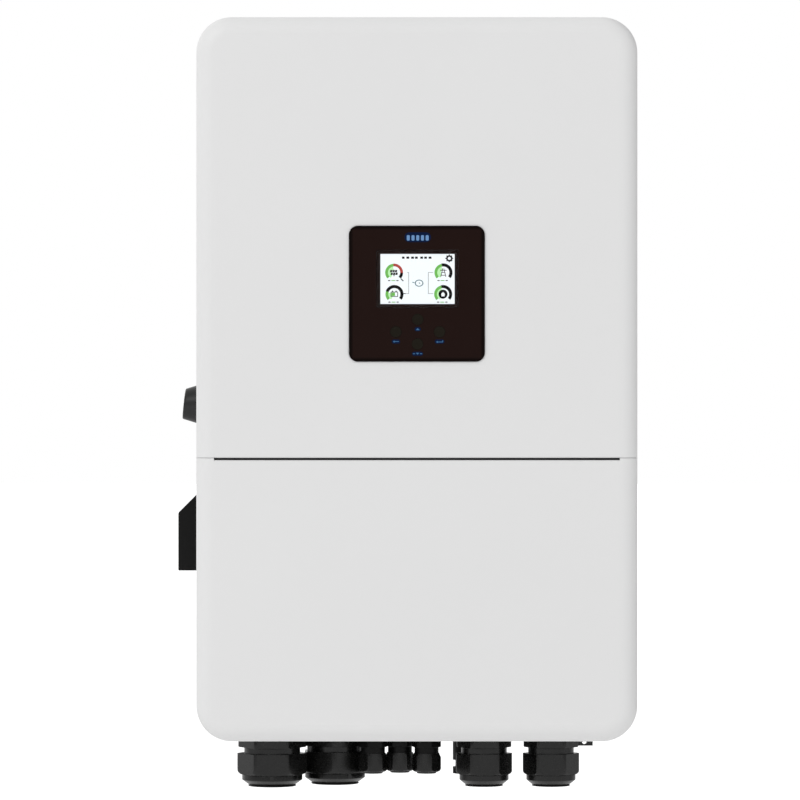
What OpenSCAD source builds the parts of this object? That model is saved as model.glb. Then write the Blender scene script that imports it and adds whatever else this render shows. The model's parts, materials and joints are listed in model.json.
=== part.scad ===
// Wall-hung hybrid string inverter, in millimetres.
// +Z is up, -Y is the front and the wall is the plane Y = 0.
// The origin is the centre of the wall bracket's four bolt holes, on the wall.

/* [Enclosure] */
// Width of the covers and the housing
body_w = 422; // [410:1:450]
// Height of the covers and the housing, without the cable glands
body_h = 693; // [680:1:720]
// Distance from the wall to the front face
body_d = 279; // [277:1:290]
// Corner radius of the outline, seen from the front
corner_r = 34; // [28:1:40]
// Radius round the edge of the front face
edge_r = 17; // [12:1:20]
// Thickness of the painted covers
cover_t = 2.5; // [2:0.1:3]
// Height of the seam between the two covers, above the underside
seam_h = 270.4; // [265:0.1:280]
// Width of the dark joint across the front
seam_gap = 2.2; // [1:0.1:2.6]
// Height of the bracket's bolt pattern above the underside
hang_height = 560; // [550:1:565]

/* [Display] */
// Side of the square display panel
panel_w = 129.3; // [126:0.1:134]
// Height of the panel's centre above the underside
panel_h = 428; // [420:0.1:440]
// Width of the lit screen
lcd_w = 70.5; // [68:0.1:74]
// Height of the lit screen
lcd_h = 47.4; // [46:0.1:50]
// Height of the screen's centre above the panel's centre
lcd_up = 14.1; // [12:0.1:15]
// Travel of a front key
key_travel = 0.5; // [0.3:0.1:0.6]

/* [Side controls] */
// Reach of the isolator's hood out of the side wall
hood_reach = 21.7; // [20:0.1:24]
// Height of the isolator's axis above the underside
isolator_h = 189.3; // [186:0.1:192]
// Distance of both side controls from the wall
side_control_f = 139; // [136:1:142]
// Height of the power button's housing above the underside
button_h = 322.5; // [318:0.1:328]
// Travel of the power button
button_travel = 3; // [2:0.5:3]

/* [Cooling] */
// Number of heatsink fins
fin_count = 33; // [25:2:33]
// Thickness of a fin
fin_t = 2.4; // [2:0.1:2.8]
// Side of a square fan
fan_w = 60; // [58:1:60]
// Blades on a fan rotor
blade_count = 7; // [5:1:9]

/* [Wall bracket] */
// Width of the bracket
bracket_w = 300; // [290:1:310]
// Distance between bolt holes, across
bolt_dx = 240; // [200:1:250]
// Distance between bolt holes, up
bolt_dz = 70; // [60:1:80]
// Diameter of a bolt hole
bolt_d = 9; // [7:0.5:10]

/* [Hidden] */
$fn = 64;
through = 1;        // how far a cutter runs past a face
half_w = body_w / 2;

// Distances from the wall, towards the front.
fin_tip_f = 14;
fin_root_f = 70;
housing_f = 80;     // back of the housing
back_t = 3;
inside_f = housing_f + back_t;
step_f = 211.5;     // where the housing steps in under the covers
cover_back_f = 212;
rim_back_f = 222;
rim_f = 225;        // front of the housing's rim
flange_f = 228.2;   // where a cover's flange presses on the gasket
flange_t = 2.5;
face_f = body_d;

// Insets from the outline.
wall_t = 3.5;
lip_in = 4;
lip_wall_in = 7;
gasket_in = 10;
rim_in = 19;

// The seam: a hairline at the sides and a wider groove across the flat front.
hairline = 0.15;
joint_up = 1.02;    // the hairline is this far above the groove's middle
groove_half_w = half_w - edge_r - 0.5;  // stops short of the rounded edge
groove_f = 262;
lip_side = (seam_gap / 2 + 0.9) * sqrt(2);  // square set on its corner that chamfers both lips
closing_t = 3.2;    // wall of each cover along the seam
seam_bar = 10.5;    // sealing strip along the seam

cover_screw_x = [-112, 27, 139];
cover_screw_f = 218.5;
front_screw_x = 120;
front_screw_h = [330, 620];
m4_r = 2;

// Cable glands: [x, distance from the wall, turn of the hexagons].
battery_glands = [[-140.8, 172, 0], [-79.9, 143, 30]];
signal_glands = [[-42.5, 172, 10], [-16.2, 160, 0], [9.8, 172, -10]];
ac_glands = [[65.9, 172, 1], [131.2, 172, -2]];

// Sizes: [thread r, bore r, across flats, neck r, collar r, end r, seal bore r,
//         rounding of the shoulder, end of the shoulder, of the collar, of the nut,
//         across flats of the fixed hexagon].
m50 = [25, 19.5, 59.2, 27.3, 29.4, 23.4, 17, 4.9, 38.3, 47.7, 49.6, 57.6];
m40 = [20, 15.5, 47.9, 22.3, 24, 18.6, 13, 3.9, 38.3, 47.9, 49.5, 46.6];
m20 = [10, 7.2, 24.8, 11.7, 10, 9.4, 5.5, 3.9, 36, 36.8, 37.4, 24.8];
pad_t = 2;          // flat seal under a gland
base_end = 11.8;    // bottom of the fixed hexagon
nut_start = 17.6;   // top of the turning nut
nut_thread_end = 28;
gland_thread_up = 13;

// Other fittings in the floor: [x, distance from the wall].
pv_plus = [[-155, 96], [-92.5, 96]];
pv_minus = [[-131, 96], [-68.5, 96]];
pv_thread_r = 8;
data_port = [49.8, 100];
data_thread_r = 9;
earth_spot = [165, 112];
earth_r = 3;

// Display, seen from the front: [x, height from the panel's centre].
lcd_spot = [0.6, lcd_up];
key_spots = [[-20, -36.4], [0.8, -24.6], [21.6, -36.4], [0.6, -48]];
key_r = 5.4;
panel_f = face_f + 1.4;
panel_back_f = face_f - 1.4;
panel_r = 8.4;
window_w = 118;
lens_w = lcd_w + 8;
lens_h = lcd_h + 8;
lens_t = 1.4;
glue_t = 0.15;      // clear adhesive film behind the lens
board_f = 266;
board_t = 1.6;
post_spot = 53;

// Side controls.
hood_bottom_h = isolator_h - 29.2;
hood_corner_h = isolator_h + 27.3;
hood_half_d = 29;
hood_t = 3;
shaft_r = 4;
button_tilt = 6.2;
button_r = 8.9;
bezel_reach = 17.3;
bezel_base_r = 20;
bezel_tip_r = 13.5; // its cone goes on to here, past the slanted face
bezel_tip = 21.3;

// Cooling.
heatsink_half_w = 180;
heatsink_h = [130, 672];
fin_span = 322;
rib_x = 172;        // thick ribs that take the hanger's screws
rib_t = 8;
opening = [270, 320];
opening_h = 460;
sink_screw_x = 150;
sink_screw_h = [160, 320, 480, 640];
fan_x = [-110, 0, 110];
fan_f = 45;
fan_h = 96;         // underside of the fans
fan_t = 25;
fan_r = fan_w / 2 - 1.8;
tray_t = 2;

// Hanging: the bracket's rail and the hanger's hook, as [from, to].
bracket_t = 2.5;
bracket_h = [hang_height - 55, hang_height + 72.5];
rail_h = [hang_height + 70, hang_height + 92];
rail_f = [8, 10.5];
hanger_f = [11.5, fin_tip_f];
hanger_h = [hang_height + 35, hang_height + 95];
hook_f = [4, 6.5];
hanger_screw_h = [hang_height + 47, hang_height + 80];
hook_half_w = bracket_w / 2 - 5;
tab_x = 170.4;
tab_w = 17;
tab_end_h = -23;
tab_hole_h = -19.2;
tab_hole_r = 2.25;
cheek_x = [183, 185];
handle_x = 199;
handle_f = 46;
handle_h = 560;
handle_l = 104;
handle_bend = 6;
handle_r = 4.5;

// Inside, on the back wall and on the heatsink.
power_board_f = 106;
shield_f = 178;
control_board_f = 185;

// ---------- frames and shapes that repeat ----------

// Heights count from the underside of the enclosure.
module hung() translate([0, 0, -hang_height]) children();

// Drawn from the front: x, height, distance from the wall.
module facing() rotate([90, 0, 0]) children();

// A box from one [x, height, distance from the wall] to another.
module box(from, to)
    translate([from[0], -to[2], from[1]]) cube([to[0] - from[0], to[2] - from[2], to[1] - from[1]]);

// Hangs from a spot in the floor; +z of the children is down.
module below(spot) translate([spot[0], -spot[1], 0]) mirror([0, 0, 1]) children();

// Stands on a spot [x, height] of a plane at distance f; +z of the children is forward.
module on_front(spot, f) translate([spot[0], -f, spot[1]]) rotate([90, 0, 0]) children();

module mirrored_pair() for (side = [0, 1]) mirror([side, 0, 0]) children();

module rounded_rect(w, h, r) {
    square([w - 2 * r, h], center = true);
    square([w, h - 2 * r], center = true);
    for (sx = [-1, 1], sy = [-1, 1])
        translate([sx * (w / 2 - r), sy * (h / 2 - r)]) circle(r);
}

module tube(outer_r, inner_r, h) difference() {
    cylinder(r = outer_r, h = h);
    translate([0, 0, -through]) cylinder(r = inner_r, h = h + 2 * through);
}

module hexagon(flats, h) cylinder(r = flats / sqrt(3), h = h, $fn = 6);

module drill(r, from, to) translate([0, 0, from]) cylinder(r = r, h = to - from);

// A disc whose far edge is rounded by s.
module rounded_disc(r, from, to, s) translate([0, 0, from]) rotate_extrude() {
    square([r - s, to - from]);
    square([r, to - from - s]);
    translate([r - s, to - from - s]) intersection() {
        circle(s);
        square(s);
    }
}

// A plate with the enclosure's outline, drawn in by inset, from distance f0 to f1.
module outline_plate(inset, f0, f1) translate([0, body_h / 2, f0]) linear_extrude(f1 - f0)
    rounded_rect(body_w - 2 * inset, body_h - 2 * inset, corner_r - inset);

// Section of a cover's edge, rc wide, rounded by re at the front.
module edge_section(rc, re, depth) difference() {
    square([rc, depth]);
    translate([rc - re, depth - re]) difference() {
        square(re + through);
        circle(re);
    }
}

// A block with that outline and a rounded front edge.
module crowned_block(inset, f0, f1) {
    rc = corner_r - inset;
    flat = [body_w - 2 * corner_r, body_h - 2 * corner_r];
    translate([0, body_h / 2, f0]) {
        linear_extrude(f1 - f0) square(flat, center = true);
        for (turn = [0, 1, 2, 3]) rotate(90 * turn) {
            side = turn % 2;
            translate([flat[side] / 2, flat[1 - side] / 2, 0]) {
                rotate([90, 0, 0]) linear_extrude(flat[1 - side])
                    edge_section(rc, edge_r - inset, f1 - f0);
                rotate_extrude(angle = 90) edge_section(rc, edge_r - inset, f1 - f0);
            }
        }
    }
}

// Everything between two heights.
module band(h0, h1) translate([-body_w, h0, 0]) cube([2 * body_w, h1 - h0, 2 * body_d]);

// A closed sealing ring: the outline's strip between two insets, and a bar along the seam.
module sealing_ring(inset, h0, h1, hole_h0, hole_h1, f0, f1) difference() {
    intersection() {
        outline_plate(inset, f0, f1);
        band(h0, h1);
    }
    intersection() {
        outline_plate(rim_in, f0 - through, f1 + through);
        band(hole_h0, hole_h1);
    }
}

// A hollow cover between two heights; its room is open between two others.
module cover(h0, h1, room_h0, room_h1) facing() {
    difference() {
        intersection() {
            crowned_block(0, cover_back_f, face_f);
            band(h0, h1);
        }
        intersection() {
            crowned_block(cover_t, cover_back_f - through, face_f - cover_t);
            band(room_h0, room_h1);
        }
        translate([cover_t - half_w, seam_h - seam_bar, cover_back_f - through])
            cube([body_w - 2 * cover_t, 2 * seam_bar, flange_f - cover_back_f + through]);
        translate([-groove_half_w, seam_h, 0]) {
            translate([0, -seam_gap / 2, groove_f]) cube([2 * groove_half_w, seam_gap, body_d]);
            translate([0, 0, face_f]) rotate([45, 0, 0]) translate([0, -lip_side / 2, -lip_side / 2])
                cube([2 * groove_half_w, lip_side, lip_side]);
        }
    }
    sealing_ring(cover_t - 0.5, h0, h1, room_h0 + seam_bar, room_h1 - seam_bar,
        flange_f, flange_f + flange_t);
}

// The front cover's screws: +z of the children runs in through the skirt.
module at_front_cover_screws() {
    for (x = [-front_screw_x, front_screw_x])
        translate([x, -cover_screw_f, body_h]) rotate([180, 0, 0]) children();
    for (side = [-1, 1], h = front_screw_h)
        translate([side * half_w, -cover_screw_f, h]) rotate([0, -90 * side, 0]) children();
}

// Out of the left side, level with the isolator: +z points away from the wall of the housing.
module at_isolator() translate([-half_w, -side_control_f, isolator_h])
    rotate([0, -90, 0]) children();

// The power button's axis leans up a little and meets the middle of its housing's face.
module at_button()
    translate([-half_w, -side_control_f, button_h - bezel_reach * sin(button_tilt)])
        rotate([0, button_tilt - 90, 0]) children();

// ---------- housing and covers ----------

module rear_housing() color("WhiteSmoke") hung() difference() {
    facing() difference() {
        union() {
            outline_plate(0, housing_f, step_f);
            outline_plate(lip_in, step_f, rim_f);
        }
        outline_plate(wall_t, inside_f, step_f - wall_t);
        outline_plate(lip_wall_in, step_f - wall_t - through, rim_back_f);
        outline_plate(rim_in, rim_back_f - through, rim_f + through);
        translate([0, opening_h, housing_f - through]) linear_extrude(back_t + 2 * through)
            rounded_rect(opening[0], opening[1], 10);
    }
    for (g = battery_glands) below(g) drill(m50[0] + 0.2, -wall_t - through, through);
    for (g = ac_glands) below(g) drill(m40[0] + 0.2, -wall_t - through, through);
    for (g = signal_glands) below(g) drill(m20[0] + 0.2, -wall_t - through, through);
    for (p = concat(pv_plus, pv_minus)) below(p) drill(pv_thread_r, -wall_t - through, through);
    below(data_port) drill(data_thread_r, -wall_t - through, through);
    below(earth_spot) drill(earth_r, -wall_t - through, through);
    for (x = cover_screw_x) below([x, cover_screw_f]) drill(m4_r, -lip_wall_in - through, 0);
    at_front_cover_screws() drill(m4_r, 0, lip_wall_in + through);
    at_isolator() drill(shaft_r + 1, -wall_t - through, through);
    at_button() drill(button_r + 0.6, -wall_t - 2 * through, 2 * through);
    for (x = [-sink_screw_x, sink_screw_x], h = sink_screw_h)
        on_front([x, h], housing_f) drill(m4_r, -through, back_t + through);
}

module compartment_shelf() color("Silver") hung() {
    box([wall_t - half_w, seam_h - 2, inside_f], [half_w - wall_t, seam_h, step_f - wall_t]);
    box([lip_wall_in - half_w, seam_h - 2, step_f - wall_t],
        [half_w - lip_wall_in, seam_h, rim_back_f]);
    box([rim_in - half_w, seam_h - seam_bar, rim_back_f], [half_w - rim_in, seam_h + seam_bar, rim_f]);
}

module front_cover() color("White") hung() difference() {
    cover(seam_h + joint_up + hairline, body_h + through, seam_h + closing_t, 2 * body_h);
    at_front_cover_screws() {
        translate([0, 0, -0.1]) cylinder(r1 = 3.9, r2 = 2.1, h = 2.4);
        drill(2.1, 0, cover_t + through / 2);
    }
    facing() translate([0, panel_h, 0]) {
        translate([0, 0, panel_back_f]) linear_extrude(body_d)
            rounded_rect(panel_w + 0.2, panel_w + 0.2, panel_r + 0.1);
        translate([0, 0, face_f - cover_t - through]) linear_extrude(body_d)
            rounded_rect(window_w + 1, window_w + 1, 5);
    }
}

module wiring_cover() color("White") hung() difference() {
    cover(-through, seam_h + joint_up - hairline, -body_h, seam_h - closing_t);
    for (x = cover_screw_x) {
        below([x, cover_screw_f]) drill(2.3, -cover_t - 0.5, through);
        box([x - 2.3, -through, cover_back_f - through], [x + 2.3, cover_t + 0.5, cover_screw_f]);
    }
}

module front_cover_gasket() color("DimGray") hung() facing()
    sealing_ring(gasket_in, seam_h + 1, body_h, seam_h + seam_bar, 2 * body_h, rim_f, flange_f);

module wiring_cover_gasket() color("DimGray") hung() facing()
    sealing_ring(gasket_in, 0, seam_h - 1, -body_h, seam_h - seam_bar, rim_f, flange_f);

module front_cover_screws() color("Silver") hung() at_front_cover_screws() difference() {
    union() {
        cylinder(r1 = 3.7, r2 = m4_r, h = 2.2);
        drill(m4_r, 1, lip_wall_in + 2);
    }
    translate([0, 0, -through]) hexagon(2.5, 2.4);
}

module wiring_cover_screws() color("DimGray") hung()
    for (x = cover_screw_x) below([x, cover_screw_f]) difference() {
        union() {
            drill(4.2, 0.2, 1);
            drill(3.5, 1, 2.8);
            drill(m4_r, -lip_wall_in - 2, 1);
        }
        translate([0, 0, 1.4]) hexagon(2.5, 2);
    }

// ---------- display ----------

// Children on the display panel: x, height from the panel's centre, distance from the wall.
module on_panel(spot = [0, 0]) hung() facing() translate([spot[0], panel_h + spot[1], 0])
    children();

module display_panel() color([0.12, 0.09, 0.08]) on_panel() {
    difference() {
        translate([0, 0, panel_back_f]) linear_extrude(panel_f - panel_back_f) difference() {
            rounded_rect(panel_w, panel_w, panel_r);
            translate(lcd_spot) square([lcd_w + 0.3, lcd_h + 0.3], center = true);
            for (k = key_spots) translate(k) circle(key_r + 0.1);
        }
        translate([lcd_spot[0], lcd_spot[1], panel_f - lens_t]) linear_extrude(through + lens_t)
            rounded_rect(lens_w + 0.1, lens_h + 0.1, 2);
    }
    for (sx = [-1, 1], sy = [-1, 1]) translate([sx * post_spot, sy * post_spot, 0])
        drill(3, board_f + board_t, panel_back_f);
}

module display_lens() color([0.7, 0.8, 0.8]) on_panel(lcd_spot)
    translate([0, 0, panel_f - lens_t + glue_t]) linear_extrude(lens_t - glue_t)
        rounded_rect(lens_w, lens_h, 2);

module lcd_module() color("Gainsboro") on_panel(lcd_spot) {
    translate([0, 0, board_f + board_t]) linear_extrude(panel_back_f - board_f - board_t)
        square([lcd_w + 16, 58], center = true);
    translate([0, 0, panel_back_f]) linear_extrude(1) square([lcd_w, lcd_h], center = true);
}

module display_board() color("DarkGreen") on_panel() {
    difference() {
        translate([0, 0, board_f]) linear_extrude(board_t) square(window_w - 1, center = true);
        for (sx = [-1, 1], sy = [-1, 1]) translate([sx * post_spot, sy * post_spot, 0])
            drill(1.6, board_f - through, board_f + board_t + through);
    }
    for (k = key_spots) translate([k[0] - 3, k[1] - 3, board_f + board_t]) cube([6, 6, 4]);
    translate([-12, -56, board_f - 6]) cube([24, 8, 6]);
}

module key(spot) color([0.14, 0.13, 0.11]) on_panel(spot) {
    drill(key_r, panel_back_f - 1, panel_f + 0.4);
    drill(key_r + 0.9, panel_back_f - 1.2, panel_back_f - 0.2);
    drill(2, board_f + board_t + 4 + key_travel + 0.1, panel_back_f - 1);
}

module key_esc() key(key_spots[0]);

module key_up() key(key_spots[1]);

module key_enter() key(key_spots[2]);

module key_down() key(key_spots[3]);

// ---------- controls on the left side ----------

// The hood's outline from the front, drawn in by inset.
module hood_outline(inset, base, reach) {
    top = hood_corner_h + hood_reach - inset * sqrt(2);
    polygon([[-base, hood_bottom_h + inset], [-reach, hood_bottom_h + inset],
        [-reach, top - reach], [-base, top - base]]);
}

module isolator_hood() color([0.12, 0.12, 0.13]) hung() difference() {
    translate([-half_w, hood_half_d - side_control_f, 0]) {
        rotate([90, 0, 0]) linear_extrude(2 * hood_half_d) hood_outline(0, 0, hood_reach);
    }
    translate([-half_w, hood_half_d - hood_t - side_control_f, 0]) rotate([90, 0, 0])
        linear_extrude(2 * (hood_half_d - hood_t)) hood_outline(hood_t, hood_t, hood_reach + through);
    at_isolator() drill(shaft_r + 1, -through, hood_t + through);
}

module isolator_knob() color([0.1, 0.1, 0.1]) hung() at_isolator() {
    drill(20, hood_t + 0.3, 8);
    intersection() {
        drill(19, 7, 20);
        translate([0, 0, 13]) cube([40, 10, 14], center = true);
    }
    drill(shaft_r, -14, hood_t + 1);
}

module isolator_body() color("Gainsboro") hung() at_isolator() difference() {
    union() {
        translate([-26, -24, -64]) cube([52, 48, 64 - wall_t]);
        for (y = [-15, -5, 5, 15]) translate([-31, y - 3.5, -56]) cube([62, 7, 12]);
    }
    drill(shaft_r + 0.1, -15, 0);
    for (x = [-29, 29], y = [-15, -5, 5, 15]) translate([x, y, 0]) drill(1.8, -50, -40);
}

// A cone square to the wall, cut by a face that leans up.
module power_button_bezel() color([0.2, 0.2, 0.2]) hung() difference() {
    translate([-half_w, -side_control_f, button_h]) rotate([0, -90, 0])
        cylinder(r1 = bezel_base_r, r2 = bezel_tip_r, h = bezel_tip);
    at_button() {
        drill(button_r + 0.1, -6, bezel_tip);
        translate([-bezel_base_r, -bezel_base_r, bezel_reach])
            cube([2 * bezel_base_r, 2 * bezel_base_r, bezel_tip]);
    }
}

module power_button() color("Silver") hung() at_button() difference() {
    drill(button_r, -5, bezel_reach - 0.6);
    translate([0, 0, bezel_reach + 20]) sphere(r = 22, $fn = 96);
}

module power_switch() color([0.15, 0.15, 0.15]) hung() difference() {
    at_button() {
        tube_top = -8.1;
        translate([0, 0, -30]) cylinder(r = 13.5, h = 30 + tube_top);
        translate([0, 0, tube_top]) tube(13.5, button_r + 0.3, 10);
        for (y = [-6, 0, 6]) translate([-1.5, y - 0.4, -38]) cube([3, 0.8, 9]);
    }
    box([-half_w - 20, button_h - 40, side_control_f - 40],
        [wall_t - half_w, button_h + 40, side_control_f + 40]);
}

// ---------- cable glands and connectors in the floor ----------

// The fixed half of a gland: thread up through the floor, hexagon, neck and the nut's thread.
module gland_body(g, turn) difference() {
    union() {
        drill(g[0], -gland_thread_up, pad_t);
        translate([0, 0, pad_t]) rotate(turn) hexagon(g[11], base_end - pad_t);
        drill(g[3], base_end - 1, nut_start - 0.2);
        drill(g[0] - 1, nut_start - 1, nut_thread_end);
    }
    drill(g[1], -gland_thread_up - through, nut_thread_end + through);
}

// The turning nut: hexagon with a rounded shoulder, collar, taper and end ring.
module gland_nut(g, turn) difference() {
    taper_start = g[8] + 0.54 * (g[9] - g[8]);
    union() {
        intersection() {
            translate([0, 0, nut_start]) rotate(turn) hexagon(g[2], g[8] - nut_start);
            rounded_disc(g[2] / sqrt(3) + 0.3, nut_start - through, g[8], g[7]);
        }
        drill(g[4], g[8] - 1, taper_start);
        translate([0, 0, taper_start]) cylinder(r1 = g[4], r2 = g[5], h = g[9] - taper_start);
        drill(g[5], g[9] - 0.2, g[10]);
    }
    drill(g[0] - 0.9, nut_start - through, nut_thread_end + 0.2);
    drill(g[1] + 0.6, nut_start, g[9] - 1);
    drill(g[6] + 1, g[9] - 2, g[10] + through);
}

module gland_seal(g) difference() {
    union() {
        drill(g[1] + 0.5, nut_thread_end + 0.2, g[9] - 1);
        drill(g[6] + 0.9, g[9] - 1.5, g[10] - 1);
    }
    drill(g[6], 0, g[10] + through);
}

module gland_locknut(g) translate([0, 0, -wall_t - 6]) difference() {
    tube(g[0] + 4, g[0], 6);
    for (turn = [0 : 60 : 300]) rotate(turn) translate([g[0] + 2, -2, -through])
        cube([4, 4, 6 + 2 * through]);
}

module battery_gland_bodies() color([0.1, 0.1, 0.1]) hung()
    for (s = battery_glands) below(s) gland_body(m50, s[2]);

module battery_gland_nuts() color([0.12, 0.12, 0.12]) hung()
    for (s = battery_glands) below(s) gland_nut(m50, s[2]);

module battery_gland_seals() color([0.2, 0.2, 0.2]) hung()
    for (s = battery_glands) below(s) gland_seal(m50);

module signal_gland_bodies() color([0.1, 0.1, 0.1]) hung()
    for (s = signal_glands) below(s) gland_body(m20, s[2]);

module signal_gland_nuts() color([0.12, 0.12, 0.12]) hung()
    for (s = signal_glands) below(s) gland_nut(m20, s[2]);

module signal_gland_seals() color([0.2, 0.2, 0.2]) hung()
    for (s = signal_glands) below(s) gland_seal(m20);

module ac_gland_bodies() color([0.1, 0.1, 0.1]) hung()
    for (s = ac_glands) below(s) gland_body(m40, s[2]);

module ac_gland_nuts() color([0.12, 0.12, 0.12]) hung()
    for (s = ac_glands) below(s) gland_nut(m40, s[2]);

module ac_gland_seals() color([0.2, 0.2, 0.2]) hung()
    for (s = ac_glands) below(s) gland_seal(m40);

module gland_pads() color([0.15, 0.15, 0.15]) hung() {
    for (s = battery_glands) below(s) tube(m50[11] / 2 - 0.5, m50[0] + 0.1, pad_t);
    for (s = ac_glands) below(s) tube(m40[11] / 2 - 0.5, m40[0] + 0.1, pad_t);
    for (s = signal_glands) below(s) tube(m20[11] / 2 - 0.5, m20[0] + 0.1, pad_t);
}

module gland_locknuts() color([0.18, 0.18, 0.18]) hung() {
    for (s = battery_glands) below(s) gland_locknut(m50);
    for (s = ac_glands) below(s) gland_locknut(m40);
    for (s = signal_glands) below(s) gland_locknut(m20);
}

// A panel connector's collar, its thread through the floor and its nut inside.
module pv_mount() {
    drill(pv_thread_r, -12, 3);
    drill(10.5, 0, 3);
    translate([0, 0, 3]) hexagon(19, 4);
    difference() {
        translate([0, 0, -wall_t - 4]) hexagon(19, 4);
        drill(pv_thread_r - 0.5, -wall_t - 5, -wall_t + 1);
    }
}

module pv_plus_sockets() color([0.1, 0.1, 0.1]) hung() for (s = pv_plus) below(s) difference() {
    union() {
        pv_mount();
        drill(7, 6, 34);
        for (turn = [0, 180]) rotate(turn) translate([5, -2.5, 14]) cube([4, 5, 16]);
    }
    drill(5, 12, 35);
}

module pv_minus_plugs() color([0.1, 0.1, 0.1]) hung() for (s = pv_minus) below(s) {
    pv_mount();
    difference() {
        union() {
            drill(8, 6, 16);
            drill(6.2, 15, 34);
        }
        drill(2, 20, 35);
    }
    drill(8.6, 12, 13.5);
}

module data_port_cap() color([0.1, 0.1, 0.1]) hung() below(data_port) {
    drill(data_thread_r, -10, 2);
    drill(12.5, 0, 6);
    drill(13.6, 5.5, 29.5);
    drill(11, 29, 37);
    difference() {
        drill(13.6, 36.5, 43);
        for (turn = [0 : 30 : 330]) rotate(turn) translate([14.4, 0, 0]) drill(1.6, 38, 44);
    }
    translate([0, 0, -wall_t - 5]) tube(14, data_thread_r, 5);
}

module earth_terminal() color("Silver") hung() below(earth_spot) {
    drill(earth_r, -wall_t - 6, 11);
    drill(7, 0, 1.6);
    translate([0, 0, 1.6]) hexagon(10, 5);
    translate([0, 0, -wall_t - 5]) hexagon(10, 5);
}

// ---------- heatsink, fans and hanging parts ----------

module heatsink() color("Silver") hung() difference() {
    union() {
        box([-heatsink_half_w, heatsink_h[0], fin_root_f],
            [heatsink_half_w, heatsink_h[1], housing_f]);
        for (i = [0 : fin_count - 1]) {
            x = fin_span * (i / (fin_count - 1) - 0.5);
            box([x - fin_t / 2, heatsink_h[0], fin_tip_f], [x + fin_t / 2, heatsink_h[1], fin_root_f]);
        }
        mirrored_pair() box([rib_x - rib_t / 2, heatsink_h[0], fin_tip_f],
            [rib_x + rib_t / 2, heatsink_h[1], fin_root_f]);
    }
    for (x = [-sink_screw_x, sink_screw_x], h = sink_screw_h)
        on_front([x, h], housing_f) drill(m4_r, -8, through);
    for (x = [-rib_x, rib_x], h = hanger_screw_h)
        on_front([x, h], fin_tip_f) drill(2.5, -through, 14);
}

module heatsink_screws() color("Silver") hung()
    for (x = [-sink_screw_x, sink_screw_x], h = sink_screw_h)
        on_front([x, h], inside_f) difference() {
            union() {
                drill(m4_r, -back_t - 7.5, through);
                drill(3.5, 0, 4);
            }
            translate([0, 0, 2]) hexagon(3, 3);
        }

module side_cheeks() color("WhiteSmoke") hung() mirrored_pair() {
    difference() {
        box([cheek_x[0], heatsink_h[0], fin_tip_f], [cheek_x[1], heatsink_h[1], housing_f]);
        for (i = [0 : 6]) box([cheek_x[0] - through, 300 + 22 * i, 28],
            [cheek_x[1] + through, 308 + 22 * i, 60]);
    }
    box([cheek_x[1], heatsink_h[0], housing_f - 2], [cheek_x[1] + 12, heatsink_h[1], housing_f]);
    box([heatsink_half_w, heatsink_h[0], housing_f - 2], [cheek_x[0], heatsink_h[1], housing_f]);
}

module side_handles() color([0.15, 0.15, 0.15]) hung() mirrored_pair()
    translate([handle_x, -handle_f, handle_h]) {
        translate([0, 0, -handle_l / 2]) cylinder(r = handle_r, h = handle_l);
        for (end = [0, 1]) mirror([0, 0, end]) translate([0, 0, handle_l / 2]) {
            translate([-handle_bend, 0, 0]) rotate([90, 0, 0]) rotate_extrude(angle = 90)
                translate([handle_bend, 0]) circle(handle_r);
            translate([cheek_x[1] - handle_x, 0, handle_bend]) rotate([0, 90, 0]) {
                cylinder(r = handle_r, h = handle_x - handle_bend - cheek_x[1]);
                cylinder(r = 8, h = 2);
            }
        }
    }

module fan_tray() color("Silver") hung() difference() {
    union() {
        box([-heatsink_half_w, fan_h - tray_t, 12], [heatsink_half_w, fan_h, housing_f]);
        box([-heatsink_half_w, fan_h, 12], [heatsink_half_w, heatsink_h[0], 14]);
        box([-heatsink_half_w, fan_h, housing_f - 2], [heatsink_half_w, heatsink_h[0], housing_f]);
        mirrored_pair() box([heatsink_half_w - 2, fan_h, 14],
            [heatsink_half_w, heatsink_h[0], housing_f - 2]);
    }
    for (x = fan_x) translate([x, -fan_f, 0]) {
        drill(fan_r, fan_h - tray_t - through, fan_h + through);
        for (turn = [0 : 90 : 270]) rotate(turn) translate([25, 25, 0])
            drill(2, fan_h - tray_t - through, fan_h + through);
    }
}

module fan_frames() color([0.12, 0.12, 0.12]) hung() for (x = fan_x) translate([x, -fan_f, fan_h]) {
    difference() {
        linear_extrude(fan_t) rounded_rect(fan_w, fan_w, 4);
        drill(fan_r, -through, fan_t + through);
        for (turn = [0 : 90 : 270]) rotate(turn) translate([25, 25, 0])
            drill(2, -through, fan_t + through);
    }
    tube(15, 2, 3);
    for (turn = [45 : 90 : 315]) rotate(turn) translate([14, -1.5, 0])
        cube([fan_r - 13, 3, 3]);
}

module fan_guards() color("Silver") hung() for (x = fan_x)
    translate([x, -fan_f, fan_h - tray_t - 1]) {
        for (r = [6, 13, 20, 27]) rotate_extrude() translate([r, 0]) circle(0.9);
        for (turn = [45, 135]) rotate(turn) difference() {
            union() {
                translate([0, 0, -1]) cube([72, 1.6, 1.4], center = true);
                for (end = [-35.3, 35.3]) translate([end, 0, -1.2]) cylinder(r = 4, h = 2.2);
            }
            for (end = [-35.3, 35.3]) translate([end, 0, -3]) cylinder(r = 2, h = 6);
        }
    }

module fan_rotor(i) color([0.08, 0.08, 0.08]) hung() translate([fan_x[i], -fan_f, fan_h]) {
    difference() {
        drill(15, 3.6, fan_t - 2);
        drill(12, 2, fan_t - 5);
    }
    drill(1.9, 0.5, fan_t - 3);
    intersection() {
        for (blade = [0 : blade_count - 1]) rotate(360 / blade_count * blade)
            translate([20, 0, 13.2]) rotate([38, 0, 0]) cube([17, 22, 1.2], center = true);
        drill(fan_r - 0.9, 4, fan_t - 2);
    }
}

module fan_rotor_left() fan_rotor(0);

module fan_rotor_middle() fan_rotor(1);

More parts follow.
